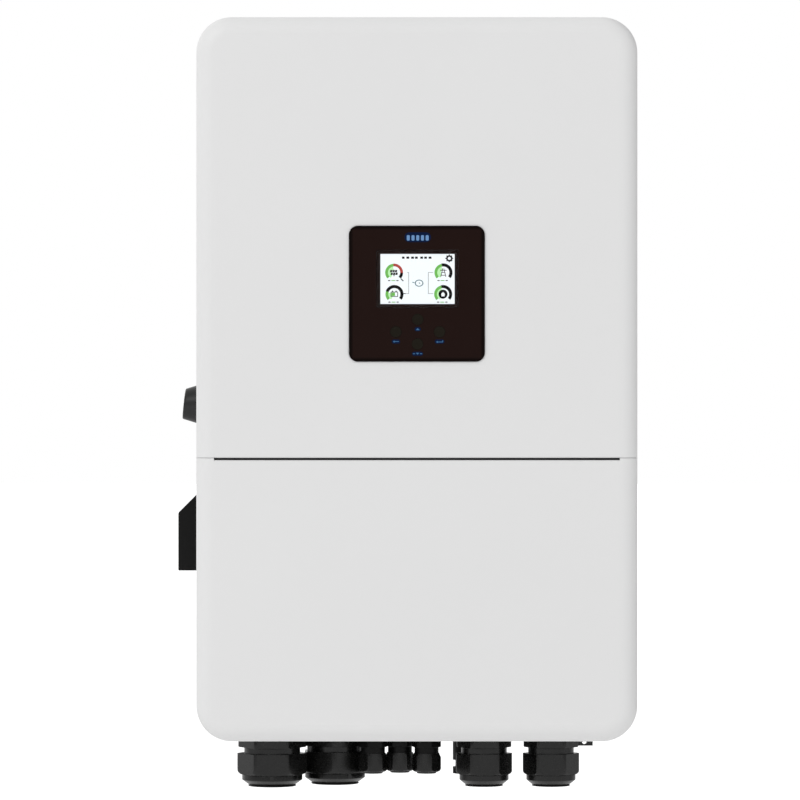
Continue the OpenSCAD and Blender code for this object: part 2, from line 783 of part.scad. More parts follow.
module fan_rotor_right() fan_rotor(2);

module hanger_bar() color("Silver") hung() difference() {
    union() {
        box([-heatsink_half_w, hanger_h[0], hanger_f[0]], [heatsink_half_w, hanger_h[1], hanger_f[1]]);
        box([-hook_half_w, rail_h[1], hook_f[0]], [hook_half_w, hanger_h[1], hanger_f[0]]);
        box([-hook_half_w, rail_h[1] - 14, hook_f[0]], [hook_half_w, rail_h[1], hook_f[1]]);
    }
    for (x = [-rib_x, rib_x], h = hanger_screw_h)
        on_front([x, h], 0) drill(2.7, 0, 20);
}

module hanger_screws() color("Silver") hung()
    for (x = [-rib_x, rib_x], h = hanger_screw_h)
        translate([x, 0, h]) rotate([90, 0, 0]) difference() {
            union() {
                drill(4.5, hanger_f[0] - 4, hanger_f[0]);
                drill(2.5, hanger_f[0] - 1, fin_tip_f + 13);
            }
            translate([0, 0, hanger_f[0] - 5]) hexagon(4, 3.4);
        }

module wall_bracket() color("Silver") hung() difference() {
    union() {
        box([-bracket_w / 2, bracket_h[0], 0], [bracket_w / 2, bracket_h[1], bracket_t]);
        box([-bracket_w / 2, rail_h[0], 0], [bracket_w / 2, rail_h[0] + bracket_t, rail_f[1]]);
        box([-bracket_w / 2, rail_h[0], rail_f[0]], [bracket_w / 2, rail_h[1], rail_f[1]]);
    }
    for (sx = [-1, 1], sz = [-1, 1])
        on_front([sx * bolt_dx / 2, hang_height + sz * bolt_dz / 2], 0)
            drill(bolt_d / 2, -through, bracket_t + through);
    for (x = [-60, 0, 60]) on_front([x, hang_height], 0)
        drill(16, -through, bracket_t + through);
}

module lower_wall_tabs() color([0.1, 0.1, 0.1]) hung() mirrored_pair() difference() {
    union() {
        box([tab_x - tab_w / 2, tab_end_h, 0], [tab_x + tab_w / 2, 40, 3]);
        box([tab_x - tab_w / 2, 37, 0], [tab_x + tab_w / 2, 40, housing_f]);
        box([tab_x - tab_w / 2, 37, housing_f - 3], [tab_x + tab_w / 2, 62, housing_f]);
    }
    on_front([tab_x, tab_hole_h], 0) drill(tab_hole_r, -through, 4);
    on_front([tab_x, 52], housing_f) drill(2.5, -4, through);
}

// ---------- inside ----------

// A board from a low corner [x, height] to a high corner, with its back at distance f.
module board(low, high, f) box([low[0], low[1], f], [high[0], high[1], f + board_t]);

module power_modules() color([0.2, 0.2, 0.22]) hung()
    for (x = [-105, -35, 35, 105], h = [380, 480]) {
        box([x - 28, h - 26, housing_f], [x + 28, h + 26, power_board_f - 6]);
        for (pin = [-20 : 8 : 20]) box([x + pin - 0.8, h - 22, power_board_f - 6],
            [x + pin + 0.8, h - 20.4, power_board_f]);
    }

module power_board() color("DarkGreen") hung() {
    difference() {
        board([-165, 296], [165, 650], power_board_f);
        for (x = [-sink_screw_x, sink_screw_x], h = [320, 640])
            on_front([x, h], power_board_f) drill(5, -through, 4);
    }
    for (x = [-158, 158], h = [420, 560])
        on_front([x, h], inside_f) drill(4, 0, power_board_f - inside_f);
    for (x = [-130 : 26 : 130]) box([x - 9, 422, power_board_f + board_t],
        [x + 9, 446, power_board_f + 22]);
}

module dc_link_capacitors() color([0.15, 0.15, 0.3]) hung()
    for (x = [-130 : 37.2 : 130], h = [575, 618])
        on_front([x, h], power_board_f + board_t) difference() {
            cylinder(r = 17.5, h = 50);
            translate([0, 0, 49.4]) tube(16, 14.5, 2);
        }

module filter_inductors() color([0.5, 0.3, 0.15]) hung()
    for (x = [-108, -36, 36, 108]) on_front([x, 345], power_board_f + board_t) {
        drill(31, 0, 4);
        tube(29, 13, 30);
        for (turn = [0 : 20 : 340]) rotate(turn) translate([27, 0, 2]) drill(3.4, 2, 31);
    }

module control_shield() color("Silver") hung() difference() {
    union() {
        box([-176, 456, shield_f], [176, 664, shield_f + 1.5]);
        mirrored_pair() box([174.5, 456, inside_f], [176, 664, shield_f]);
        mirrored_pair() box([176, 456, inside_f], [188, 664, inside_f + 1.5]);
    }
    for (x = [-120 : 40 : 120]) on_front([x, 560], shield_f) drill(9, -through, 3);
}

module control_board() color("DarkGreen") hung() {
    board([-140, 480], [140, 640], control_board_f);
    for (x = [-132, 132], h = [488, 632])
        on_front([x, h], shield_f + 1.5) drill(3, 0, control_board_f - shield_f - 1.5);
    box([-20, 540, control_board_f + board_t], [20, 580, control_board_f + 6]);
    for (x = [-110, -70, 70, 100]) box([x - 12, 600, control_board_f + board_t],
        [x + 12, 618, control_board_f + 14]);
    for (x = [-90, 90]) box([x - 18, 520, control_board_f + board_t],
        [x + 18, 548, control_board_f + 9]);
}

module battery_terminals() color("Peru") hung() for (x = [-150, -80]) {
    on_front([x, 120], inside_f) {
        translate([-22, -18, 0]) cube([44, 36, 22]);
        drill(5, 20, 46);
        drill(11, 22, 25);
        translate([0, 0, 25]) hexagon(17, 7);
    }
}

module ac_terminal_blocks() color([0.85, 0.85, 0.8]) hung() for (x = [66, 131], i = [-2 : 2]) {
    difference() {
        box([x + 11 * i - 5, 95, inside_f], [x + 11 * i + 5, 135, inside_f + 32]);
        on_front([x + 11 * i, 105], inside_f) drill(3, 20, 40);
        on_front([x + 11 * i, 125], inside_f) drill(3, 20, 40);
        translate([x + 11 * i, -inside_f - 14, 94]) cylinder(r = 3.5, h = 12);
    }
}

module signal_board() color("DarkGreen") hung() {
    board([-52, 90], [32, 190], inside_f + 8);
    for (x = [-46, 26], h = [96, 184]) on_front([x, h], inside_f) drill(3, 0, 8);
    for (x = [-38 : 14 : 18]) box([x - 6, 94, inside_f + 8 + board_t], [x + 6, 106, inside_f + 24]);
    box([-20, 150, inside_f + 8 + board_t], [4, 174, inside_f + 12]);
}

// ---------- choice of node ----------

rear_housing();
compartment_shelf();
front_cover();
wiring_cover();
front_cover_gasket();
wiring_cover_gasket();
front_cover_screws();
wiring_cover_screws();
display_panel();
display_lens();
lcd_module();
display_board();
key_esc();
key_up();
key_enter();
key_down();
isolator_hood();
isolator_knob();
isolator_body();
power_button_bezel();
power_button();
power_switch();
battery_gland_bodies();
battery_gland_nuts();
battery_gland_seals();
signal_gland_bodies();
signal_gland_nuts();
signal_gland_seals();
ac_gland_bodies();
ac_gland_nuts();
ac_gland_seals();
gland_pads();
gland_locknuts();
pv_plus_sockets();
pv_minus_plugs();
data_port_cap();
earth_terminal();
heatsink();
heatsink_screws();
side_cheeks();
side_handles();
fan_tray();
fan_frames();
fan_guards();
fan_rotor_left();
fan_rotor_middle();
fan_rotor_right();
hanger_bar();
hanger_screws();
wall_bracket();
lower_wall_tabs();
power_modules();
power_board();
dc_link_capacitors();
filter_inductors();
control_shield();
control_board();
battery_terminals();
ac_terminal_blocks();
signal_board();
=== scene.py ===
"""Looks of a wall-hung string inverter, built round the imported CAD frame.

Metres, +Z up, the front faces -Y. Drawing functions take millimetres as
(x, distance from the wall, height above the enclosure's underside).
"""
import json
import math
import random

import bmesh
import bpy
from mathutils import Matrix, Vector


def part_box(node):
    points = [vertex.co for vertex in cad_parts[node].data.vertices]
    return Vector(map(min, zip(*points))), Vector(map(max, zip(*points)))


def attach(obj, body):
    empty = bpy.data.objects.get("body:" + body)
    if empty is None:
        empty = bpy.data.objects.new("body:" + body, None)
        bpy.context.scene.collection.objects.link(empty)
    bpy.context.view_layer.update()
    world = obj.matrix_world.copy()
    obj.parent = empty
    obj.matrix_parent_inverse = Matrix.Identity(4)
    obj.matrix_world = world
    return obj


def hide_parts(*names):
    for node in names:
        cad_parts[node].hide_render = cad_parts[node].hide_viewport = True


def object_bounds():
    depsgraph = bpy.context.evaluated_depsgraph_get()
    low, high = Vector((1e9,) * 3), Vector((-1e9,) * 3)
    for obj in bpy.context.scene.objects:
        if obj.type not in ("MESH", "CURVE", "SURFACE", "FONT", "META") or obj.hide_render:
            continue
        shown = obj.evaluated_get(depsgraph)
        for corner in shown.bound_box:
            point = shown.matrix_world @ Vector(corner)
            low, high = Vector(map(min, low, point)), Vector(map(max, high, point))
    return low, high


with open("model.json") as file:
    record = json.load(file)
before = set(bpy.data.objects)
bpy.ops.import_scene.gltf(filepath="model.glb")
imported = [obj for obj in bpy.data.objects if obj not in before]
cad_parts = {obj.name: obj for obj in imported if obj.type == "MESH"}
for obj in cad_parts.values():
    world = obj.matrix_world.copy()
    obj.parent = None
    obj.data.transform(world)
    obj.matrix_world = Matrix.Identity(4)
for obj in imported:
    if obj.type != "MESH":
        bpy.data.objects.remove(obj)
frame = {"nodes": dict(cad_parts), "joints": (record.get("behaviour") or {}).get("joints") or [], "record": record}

CAD_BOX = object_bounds()
NODES = frame["nodes"]
MM = 0.001
UNDERSIDE_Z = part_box("rear_housing")[0][2]
rng = random.Random(7)


def at(x, f, u):
    """A point from millimetres: x, distance from the wall, height above the underside."""
    return Vector((x * MM, -f * MM, UNDERSIDE_Z + u * MM))


def box_mm(node):
    """A node's box as ((x0, f0, u0), (x1, f1, u1)) in those millimetres."""
    low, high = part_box(node)
    return ((low[0] / MM, -high[1] / MM, (low[2] - UNDERSIDE_Z) / MM),
            (high[0] / MM, -low[1] / MM, (high[2] - UNDERSIDE_Z) / MM))


def centre_mm(node):
    low, high = box_mm(node)
    return tuple((a + b) / 2 for a, b in zip(low, high))


# ---- materials

MATERIALS = {}


class Shader:
    """A principled material with a few shorthands. Texture coordinates are metres."""

    def __init__(self, name):
        self.mat = MATERIALS[name] = bpy.data.materials.new(name)
        self.mat.use_nodes = True
        self.tree = self.mat.node_tree
        self.tree.nodes.clear()
        self.out = self.node("OutputMaterial")
        self.bsdf = self.node("BsdfPrincipled")
        self.tree.links.new(self.bsdf.outputs[0], self.out.inputs[0])
        self.coord = self.node("TexCoord").outputs["Object"]
        self.normal = None

    def put(self, socket, value):
        if isinstance(value, bpy.types.NodeSocket):
            self.tree.links.new(value, socket)
        else:
            socket.default_value = value

    def node(self, kind, settings=None, **inputs):
        n = self.tree.nodes.new("ShaderNode" + kind)
        for key, value in (settings or {}).items():
            setattr(n, key, value)
        for key, value in inputs.items():
            self.put(n.inputs[key.replace("_", " ")], value)
        return n

    def math(self, op, a, b=0.0, clamp=False):
        n = self.node("Math")
        n.operation = op
        n.use_clamp = clamp
        self.put(n.inputs[0], a)
        self.put(n.inputs[1], b)
        return n.outputs[0]

    def stretch(self, scale):
        n = self.node("Mapping", Scale=scale)
        self.put(n.inputs["Vector"], self.coord)
        return n.outputs[0]

    def noise(self, scale, detail=2.0, rough=0.5, vector=None):
        n = self.node("TexNoise", Scale=scale, Detail=detail, Roughness=rough)
        self.put(n.inputs["Vector"], vector or self.coord)
        return n.outputs["Fac"]

    def remap(self, value, a, b, low=0.0, high=1.0):
        n = self.node("MapRange")
        for i, v in enumerate((value, a, b, low, high)):
            self.put(n.inputs[i], v)
        return n.outputs[0]

    def mix(self, fac, a, b):
        n = self.node("Mix")
        n.data_type = "RGBA"
        self.put(n.inputs[0], fac)
        self.put(n.inputs[6], rgba(a) if isinstance(a, tuple) else a)
        self.put(n.inputs[7], rgba(b) if isinstance(b, tuple) else b)
        return n.outputs[2]

    def round_edges(self, radius_mm, samples=4):
        """Softens the shading of hard edges; returns how close a point is to an edge, 0 to 1."""
        bevel = self.node("Bevel", {"samples": samples}, Radius=radius_mm * MM)
        self.normal = bevel.outputs[0]
        geometry = self.node("NewGeometry")
        dot = self.node("VectorMath")
        dot.operation = "DOT_PRODUCT"
        self.put(dot.inputs[0], bevel.outputs[0])
        self.put(dot.inputs[1], geometry.outputs["Normal"])
        return self.remap(dot.outputs["Value"], 1.0, 0.8)

    def bump(self, height, depth_mm, strength=1.0):
        n = self.node("Bump", Strength=strength, Distance=depth_mm * MM, Height=height)
        if self.normal is not None:
            self.put(n.inputs["Normal"], self.normal)
        self.normal = n.outputs[0]

    def finish(self, **inputs):
        for key, value in inputs.items():
            socket = self.bsdf.inputs[key.replace("_", " ")]
            self.put(socket, rgba(value) if isinstance(value, tuple) else value)
        if self.normal is not None:
            self.put(self.bsdf.inputs["Normal"], self.normal)


def rgba(colour):
    return (*colour, 1.0) if len(colour) == 3 else colour


def shade(colour, k):
    return tuple(min(1.0, c * k) for c in colour[:3])


def powder_coat(name, colour, rough=0.42):
    """Fine-textured powder coat: sub-millimetre grain over a slow orange peel, with a painted highlight that
    whitens the edges.
    """
    s = Shader(name)
    edge = s.round_edges(0.8)
    grain = s.noise(1500, 3.0, 0.6)
    peel = s.noise(260, 1.0)
    slow = s.noise(5, 2.0)
    s.bump(grain, 0.012, 0.35)
    s.bump(peel, 0.03, 0.25)
    tone = s.mix(slow, shade(colour, 0.985), shade(colour, 1.01))
    tone = s.mix(s.math("MULTIPLY", s.remap(grain, 0.62, 0.75), 0.10), tone, shade(colour, 0.9))
    # painted highlight: edges lightened towards white
    tone = s.mix(s.math("MULTIPLY", edge, 0.06), tone, (1.0, 1.0, 1.0))
    roughness = s.remap(s.noise(40, 3.0), 0.3, 0.7, rough - 0.04, rough + 0.05)
    s.finish(Base_Color=tone, Roughness=roughness, Specular_IOR_Level=0.45)


def moulded(name, colour, rough=0.45, grain=900, depth_mm=0.02, edge_highlight=0.25, radius_mm=0.5,
            shine=0.3):
    """Moulded plastic: spark-eroded grain, slow tone changes, and a painted highlight that lightens patches along
    the edges and makes them less rough.
    """
    s = Shader(name)
    edge = s.round_edges(radius_mm)
    fine = s.noise(grain, 3.0, 0.6)
    slow = s.noise(28, 3.0)
    s.bump(fine, depth_mm, 0.5)
    tone = s.mix(slow, shade(colour, 0.8), shade(colour, 1.2))
    # painted highlight: patches along the edges lighter and less rough
    painted_edge_highlight = s.math("MULTIPLY", edge, s.remap(s.noise(160, 3.0), 0.35, 0.7, 0.0, edge_highlight))
    tone = s.mix(painted_edge_highlight, tone, tuple(min(1.0, c * 2.2 + 0.05) for c in colour))
    roughness = s.math("ADD", s.remap(fine, 0.2, 0.8, rough - 0.06, rough + 0.08),
                       s.math("MULTIPLY", painted_edge_highlight, -0.2))
    s.finish(Base_Color=tone, Roughness=roughness, Specular_IOR_Level=shine)


def metal(name, colour, rough, brush=(900.0, 900.0, 12.0), spangle=0.0):
    """Bare metal with drawn or rolled streaks; spangle adds the crystals of zinc plating, and a painted highlight
    lightens the edges.
    """
    s = Shader(name)
    edge = s.round_edges(0.3)
    streak = s.noise(1.0, 3.0, 0.6, s.stretch(brush))
    cloud = s.noise(14, 4.0, 0.6)
    s.bump(streak, 0.01, 0.5)
    tone = s.mix(streak, shade(colour, 0.9), shade(colour, 1.06))
    tone = s.mix(s.math("MULTIPLY", s.remap(cloud, 0.45, 0.75), 0.12), tone, shade(colour, 0.55))
    if spangle:
        cells = s.node("TexVoronoi", Scale=170.0)
        s.put(cells.inputs["Vector"], s.coord)
        tone = s.mix(s.math("MULTIPLY", cells.outputs["Color"], spangle), tone, shade(colour, 0.75))
    # painted highlight: edges a quarter lighter
    tone = s.mix(s.math("MULTIPLY", edge, 0.3), tone, shade(colour, 1.25))
    roughness = s.remap(streak, 0.2, 0.8, rough - 0.08, rough + 0.1)
    s.finish(Base_Color=tone, Metallic=1.0, Roughness=roughness)


def rubber(name, colour, rough=0.75):
    s = Shader(name)
    s.round_edges(0.4)
    s.bump(s.noise(2600, 2.0), 0.02, 0.6)
    tone = s.mix(s.noise(60, 3.0), shade(colour, 0.75), shade(colour, 1.4))
    s.finish(Base_Color=tone, Roughness=rough, Specular_IOR_Level=0.3)


def circuit_board(name):
    """Solder-masked board: copper tracks as lighter lines under the green, tinned pads."""
    s = Shader(name)
    cells = s.node("TexVoronoi", {"distance": "CHEBYCHEV", "feature": "F1"}, Scale=160.0)
    s.put(cells.inputs["Vector"], s.coord)
    tracks = s.node("TexBrick", Scale=55.0, Mortar_Size=0.035, Brick_Width=0.9,
                    Row_Height=0.16)
    s.put(tracks.inputs["Vector"], s.node("Mapping", Rotation=(math.pi / 2, 0, 0),
                                          Vector=s.coord).outputs[0])
    copper = s.remap(tracks.outputs["Fac"], 0.3, 0.7)
    pads = s.remap(cells.outputs["Distance"], 0.16, 0.12)
    s.bump(copper, 0.04, 0.6)
    tone = s.mix(copper, (0.008, 0.075, 0.03), (0.025, 0.17, 0.07))
    tone = s.mix(s.math("MULTIPLY", pads, 0.8), tone, (0.62, 0.62, 0.6))
    s.finish(Base_Color=tone, Roughness=0.3, Coat_Weight=0.4, Coat_Roughness=0.15)


def winding(name):
    """Varnished copper wire, wound in bands."""
    s = Shader(name)
    wave = s.node("TexWave", {"bands_direction": "DIAGONAL"}, Scale=330.0, Distortion=0.6)
    s.put(wave.inputs["Vector"], s.coord)
    s.bump(wave.outputs["Fac"], 0.3, 0.8)
    tone = s.mix(wave.outputs["Fac"], (0.20, 0.07, 0.025), (0.62, 0.27, 0.11))
    s.finish(Base_Color=tone, Metallic=0.7, Roughness=0.3, Coat_Weight=0.6)


def panel_gloss(name):
    """Dark glossy film over the panel, blacker along its rim, with a painted highlight lightening its edges."""
    s = Shader(name)
    low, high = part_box("display_panel")
    split = s.node("SeparateXYZ", Vector=s.coord)
    rims = []
    for axis, i in (("X", 0), ("Z", 2)):
        middle, half = (low[i] + high[i]) / 2, (high[i] - low[i]) / 2
        off_centre = s.math("ABSOLUTE", s.math("SUBTRACT", split.outputs[axis], middle))
        rims.append(s.math("SUBTRACT", half, off_centre))
    to_edge = s.math("MINIMUM", rims[0], rims[1])
    rim = s.remap(to_edge, 4.2 * MM, 2.2 * MM)
    edge = s.round_edges(0.5)
    s.bump(s.noise(120, 2.0), 0.02, 0.15)
    tone = s.mix(s.noise(20, 2.0), (0.0120, 0.0048, 0.0037), (0.0145, 0.0060, 0.0047))
    tone = s.mix(rim, tone, (0.0035, 0.0010, 0.0006))
    dust = s.math("MULTIPLY", s.remap(s.noise(2400, 2.0, 0.7), 0.70, 0.76), 0.03)
    tone = s.mix(dust, tone, (0.25, 0.25, 0.25))
    # painted highlight: edges lightened towards grey
    tone = s.mix(s.math("MULTIPLY", edge, 0.1), tone, (0.1, 0.1, 0.1))
    roughness = s.remap(s.noise(55, 3.0), 0.3, 0.7, 0.16, 0.24)
    s.finish(Base_Color=tone, Roughness=roughness, Specular_IOR_Level=0.05)


def clear_window(name):
    """Thin clear window: see-through, with the faint reflection of a hard coat."""
    s = Shader(name)
    glossy = s.node("BsdfGlossy", Roughness=0.08)
    through = s.node("BsdfTransparent", Color=(0.97, 0.98, 0.985, 1.0))
    fresnel = s.node("Fresnel", IOR=1.3)
    haze = s.remap(s.noise(70, 3.0), 0.3, 0.8, 0.3, 0.42)
    both = s.node("MixShader", Fac=s.math("MULTIPLY", fresnel.outputs[0], haze))
    s.tree.links.new(through.outputs[0], both.inputs[1])
    s.tree.links.new(glossy.outputs[0], both.inputs[2])
    s.tree.links.new(both.outputs[0], s.out.inputs[0])


def lit(name, colour, glow=0.9, stripe=True):
    """A lit part of the screen: its colour glows, with the fine grid of its picture cells."""
    s = Shader(name)
    grid = s.node("TexChecker", Scale=4200.0)
    s.put(grid.inputs["Vector"], s.coord)
    tone = s.mix(s.math("MULTIPLY", grid.outputs["Fac"], 0.03 if stripe else 0.0), colour,
                 shade(colour, 0.8))
    s.put(s.bsdf.inputs["Emission Color"], tone)
    s.finish(Base_Color=shade(colour, 0.25), Emission_Strength=glow, Roughness=0.4,
             Specular_IOR_Level=0.05)


powder_coat("white_powder_coat", (0.80, 0.80, 0.80))
metal("zinc_sheet", (0.56, 0.57, 0.59), 0.38, spangle=0.3)
metal("bright_steel", (0.70, 0.70, 0.71), 0.26)
moulded("black_steel", (0.012, 0.012, 0.012), 0.4, 1300, edge_highlight=0.5)
rubber("gasket_rubber", (0.03, 0.03, 0.03), 0.85)
rubber("seal_rubber", (0.012, 0.012, 0.012))
panel_gloss("panel_gloss")
clear_window("lens")
lit("screen", (0.93, 0.96, 0.97))
circuit_board("circuit_board")
moulded("key_plastic", (0.0120, 0.0099, 0.0065), 0.5, 1600, 0.015, 0.3, 0.3, 0.05)
moulded("black_plastic", (0.0032, 0.0031, 0.0030), 0.4, shine=0.12)
moulded("knob_plastic", (0.02, 0.02, 0.02), 0.38, 1100)
moulded("dark_grey_plastic", (0.011, 0.011, 0.011), 0.35)
moulded("grey_plastic", (0.48, 0.49, 0.48), 0.5)
moulded("gland_plastic", (0.0045, 0.0045, 0.0042), 0.24, 700, 0.008, 0.3, 0.2)
metal("button_metal", (0.62, 0.62, 0.62), 0.22, (200.0, 1500.0, 1500.0))
metal("cast_aluminium", (0.66, 0.67, 0.68), 0.38, (700.0, 700.0, 9.0))
moulded("capacitor_sleeve", (0.02, 0.03, 0.09), 0.3, 300)
winding("copper_winding")
metal("brass", (0.78, 0.58, 0.28), 0.28)

SLOT_OF = {p["node"]: p["material_slot"] for p in frame["record"]["subparts"]}
for node_name, cad in NODES.items():
    cad.data.materials.clear()
    cad.data.materials.append(MATERIALS[SLOT_OF[node_name]])

# ---- shapes

SMOOTH_BELOW = 35.0        # degrees between faces that still look like one smooth surface


def placed(name, data):
    """A new object in the scene."""
    obj = bpy.data.objects.new(name, data)
    bpy.context.scene.collection.objects.link(obj)
    return obj


def add_mesh(name, verts, faces, material, body="enclosure", slot=None):
    """A piece from points in metres."""
    mesh = bpy.data.meshes.new(name)
    mesh.from_pydata([tuple(v) for v in verts], [], faces)
    work = bmesh.new()
    work.from_mesh(mesh)
    bmesh.ops.remove_doubles(work, verts=work.verts, dist=1e-7)
    bmesh.ops.recalc_face_normals(work, faces=work.faces)
    work.to_mesh(mesh)
    work.free()
    mesh.polygons.foreach_set("use_smooth", [True] * len(mesh.polygons))
    mesh.set_sharp_from_angle(angle=math.radians(SMOOTH_BELOW))
    mesh.materials.append(MATERIALS[material])
    obj = placed(name, mesh)
    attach(obj, body)
    slot or material
    return obj


class Solid:
    """Collects closed forms that make one piece."""

    def __init__(self):
        self.verts, self.faces = [], []

    def add(self, verts, faces):
        start = len(self.verts)
        self.verts += verts
        self.faces += [tuple(i + start for i in f) for f in faces]

    def loft(self, rings, closed_end=True):
        """Skins rings of equally many points; the ends are capped, or joined to each other."""
        n = len(rings[0])
        faces = []
        pairs = len(rings) - 1 if closed_end else len(rings)
        for i in range(pairs):
            p, q = i * n, (i + 1) % len(rings) * n
            faces += [(p + j, p + (j + 1) % n, q + (j + 1) % n, q + j) for j in range(n)]
        if closed_end:
            faces += [tuple(range(n)), tuple(range((len(rings) - 1) * n, len(rings) * n))]
        self.add([v for ring in rings for v in ring], faces)

    def lathe(self, place, profile, steps=64, closed_end=False):
        """Turns (radius, height) pairs about an axis; place maps (a, b, height) to a point."""
        turns = [2 * math.pi * i / steps for i in range(steps)]
        self.loft([[place(r * math.cos(t), r * math.sin(t), z) for t in turns]
                   for r, z in profile], closed_end)

    def box(self, low, high, bevel=0.0, place=None):
        """A box with chamfered edges, from millimetres."""
        work = bmesh.new()
        bmesh.ops.create_cube(work, size=1.0)
        size = [h - l for l, h in zip(low, high)]
        mid = [(h + l) / 2 for l, h in zip(low, high)]
        for v in work.verts:
            v.co = Vector([c * k + m for c, k, m in zip(v.co, size, mid)])
        if bevel:
            bmesh.ops.bevel(work, geom=list(work.edges), offset=min(bevel, min(size) * 0.45),
                            segments=2, profile=0.5, affect="EDGES")
        work.verts.index_update()
        self.add([(place or at)(*v.co) for v in work.verts],
                 [tuple(v.index for v in f.verts) for f in work.faces])
        work.free()

    def plate(self, outline, f0, f1):
        """A flat shape seen from the front: (x, height) points from distance f0 to f1."""
        self.loft([[at(x, f, u) for x, u in outline] for f in (f0, f1)])

    def piece(self, name, material, replaces=None, **more):
        """Makes the piece, which may stand for a CAD node."""
        obj = add_mesh(name, self.verts, self.faces, material, **more)
        if replaces:
            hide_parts(replaces)


def hung_from(x, f, u=0.0):
    """Place function for a part under the floor: its third number counts downwards."""
    return lambda a, b, z: at(x + a, f - b, u - z)


def axis_place(origin, out, up):
    """Place function along any axis; origin in metres, out and up are unit vectors."""
    side = out.cross(up).normalized()
    up = side.cross(out).normalized()
    return lambda a, b, z: origin + (side * a + up * b + out * z) * MM


def circle(x, u, r, steps=40):
    return [(x + r * math.cos(t), u + r * math.sin(t))
            for t in (2 * math.pi * i / steps for i in range(steps))]


def band(x, u, r0, r1, start, end, squash=1.0):
    """Part of a ring, from angle start to end in degrees."""
    steps = max(3, int(abs(end - start) / 5))
    angles = [math.radians(start + (end - start) * i / steps) for i in range(steps + 1)]
    outer = [(x + r1 * math.cos(t), u + r1 * squash * math.sin(t)) for t in angles]
    inner = [(x + r0 * math.cos(t), u + r0 * squash * math.sin(t)) for t in reversed(angles)]
    return outer + inner


def bar(x0, u0, x1, u1, width):
    """A straight stroke."""
    d = math.hypot(x1 - x0, u1 - u0)
    nx, nu = -(u1 - u0) / d * width / 2, (x1 - x0) / d * width / 2
    return [(x0 + nx, u0 + nu), (x0 - nx, u0 - nu), (x1 - nx, u1 - nu), (x1 + nx, u1 + nu)]


def capsule(x, u, width, height):
    r = height / 2
    left = [(x - width / 2 + r + r * math.cos(t), u + r * math.sin(t))
            for t in (math.pi / 2 + math.pi * i / 8 for i in range(9))]
    right = [(x + width / 2 - r + r * math.cos(t), u + r * math.sin(t))
             for t in (-math.pi / 2 + math.pi * i / 8 for i in range(9))]
    return left + right


def rounded(x, u, width, height, r):
    """A rectangle with rounded corners."""
    outline = []
    for i, (sx, su) in enumerate(((1, 1), (-1, 1), (-1, -1), (1, -1))):
        cx, cu = x + sx * (width / 2 - r), u + su * (height / 2 - r)
        outline += [(cx + r * math.cos(t), cu + r * math.sin(t))
                    for t in (math.pi / 2 * (i + j / 4) for j in range(5))]
    return outline


def arc_profile(r, z, s, steps=6):
    """Quarter round from (r, z - s) to (r - s, z)."""
    return [(r - s + s * math.cos(t), z - s + s * math.sin(t))
            for t in (math.pi / 2 * i / steps for i in range(steps + 1))]


def wire(name, points, radius, material):
    """A round lead through points in millimetres, bent smoothly."""
    curve = bpy.data.curves.new(name, "CURVE")
    curve.dimensions = "3D"
    curve.bevel_depth = radius * MM
    curve.bevel_resolution = 4
    curve.resolution_u = 10
    curve.use_fill_caps = True
    spline = curve.splines.new("BEZIER")
    spline.bezier_points.add(len(points) - 1)
    for p, point in zip(spline.bezier_points, points):
        p.co = at(*point)
        p.handle_left_type = p.handle_right_type = "AUTO"
    curve.materials.append(MATERIALS[material])
    obj = placed(name, curve)
    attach(obj, "enclosure")


# ---- cable glands

def hex_radius(angle, flats, turn, limit, power=160):
    """Radius of a hexagon cut off at limit; a higher power turns the cut more sharply."""
    phi = (math.degrees(angle) - turn) % 60 - 30
    hexagon = flats / 2 / math.cos(math.radians(phi))
    return hexagon * (1 + (hexagon / limit) ** power) ** (-1 / power)


def hex_rings(place, flats, turn, levels, steps=144):
    """Rings for levels of (limit radius, depth, whether the hexagon shows)."""
    rings = []
    for limit, z, hexed in levels:
        ring = []
        for i in range(steps):
            t = 2 * math.pi * i / steps
            r = hex_radius(t, flats, turn, limit) if hexed else limit
            ring.append(place(r * math.cos(t), r * math.sin(t), z))
        rings.append(ring)
    return rings


SEAM_STEP, SEAM_DEPTH = 0.87, 3.6      # wiring cover's top above the groove's middle; depth of the dark strip that paints the groove's shade
BASE_TOP, BASE_END, NUT_START = 2.0, 11.8, 17.6
TAPER_FROM = 0.54          # how far down the collar its taper starts
FLOOR_T = 3.5


def thread_profile(r, start, end, pitch=1.5, depth=0.7):
    turns = int((end - start) / pitch)
    profile = []
    for i in range(turns):
        z = start + i * pitch
        profile += [(r - depth, z), (r - depth, z + 0.2 * pitch), (r, z + 0.5 * pitch),
                    (r, z + 0.7 * pitch)]
    return profile + [(r - depth, end)]


def gland_base(solid, place, size, turn):
    """Thread through the floor, hexagon with a moulded foot, and the neck above the nut."""
    thread_r, bore, _, neck = size[:4]
    corner, flats = size[11] / math.sqrt(3), size[11]
    levels = [(bore, -13.0, False)]
    levels += [(r, z, False) for r, z in thread_profile(thread_r, -13.0, -FLOOR_T)]
    levels += [(thread_r, 0.0, False), (thread_r, BASE_TOP, False),
               (corner - 0.8, BASE_TOP, True), (corner, BASE_TOP + 0.6, True),
               (corner, BASE_END - 0.9, True), (corner - 0.2, BASE_END - 0.4, True),
               (corner - 0.9, BASE_END, True), (neck + 0.5, BASE_END, False),
               (neck, BASE_END + 0.5, False), (neck, NUT_START - 0.04, False),
               (thread_r - 1.0, NUT_START - 0.04, False),
               (thread_r - 1.0, 28.0, False), (bore, 28.0, False)]
    solid.loft(hex_rings(place, flats, turn, levels), closed_end=False)


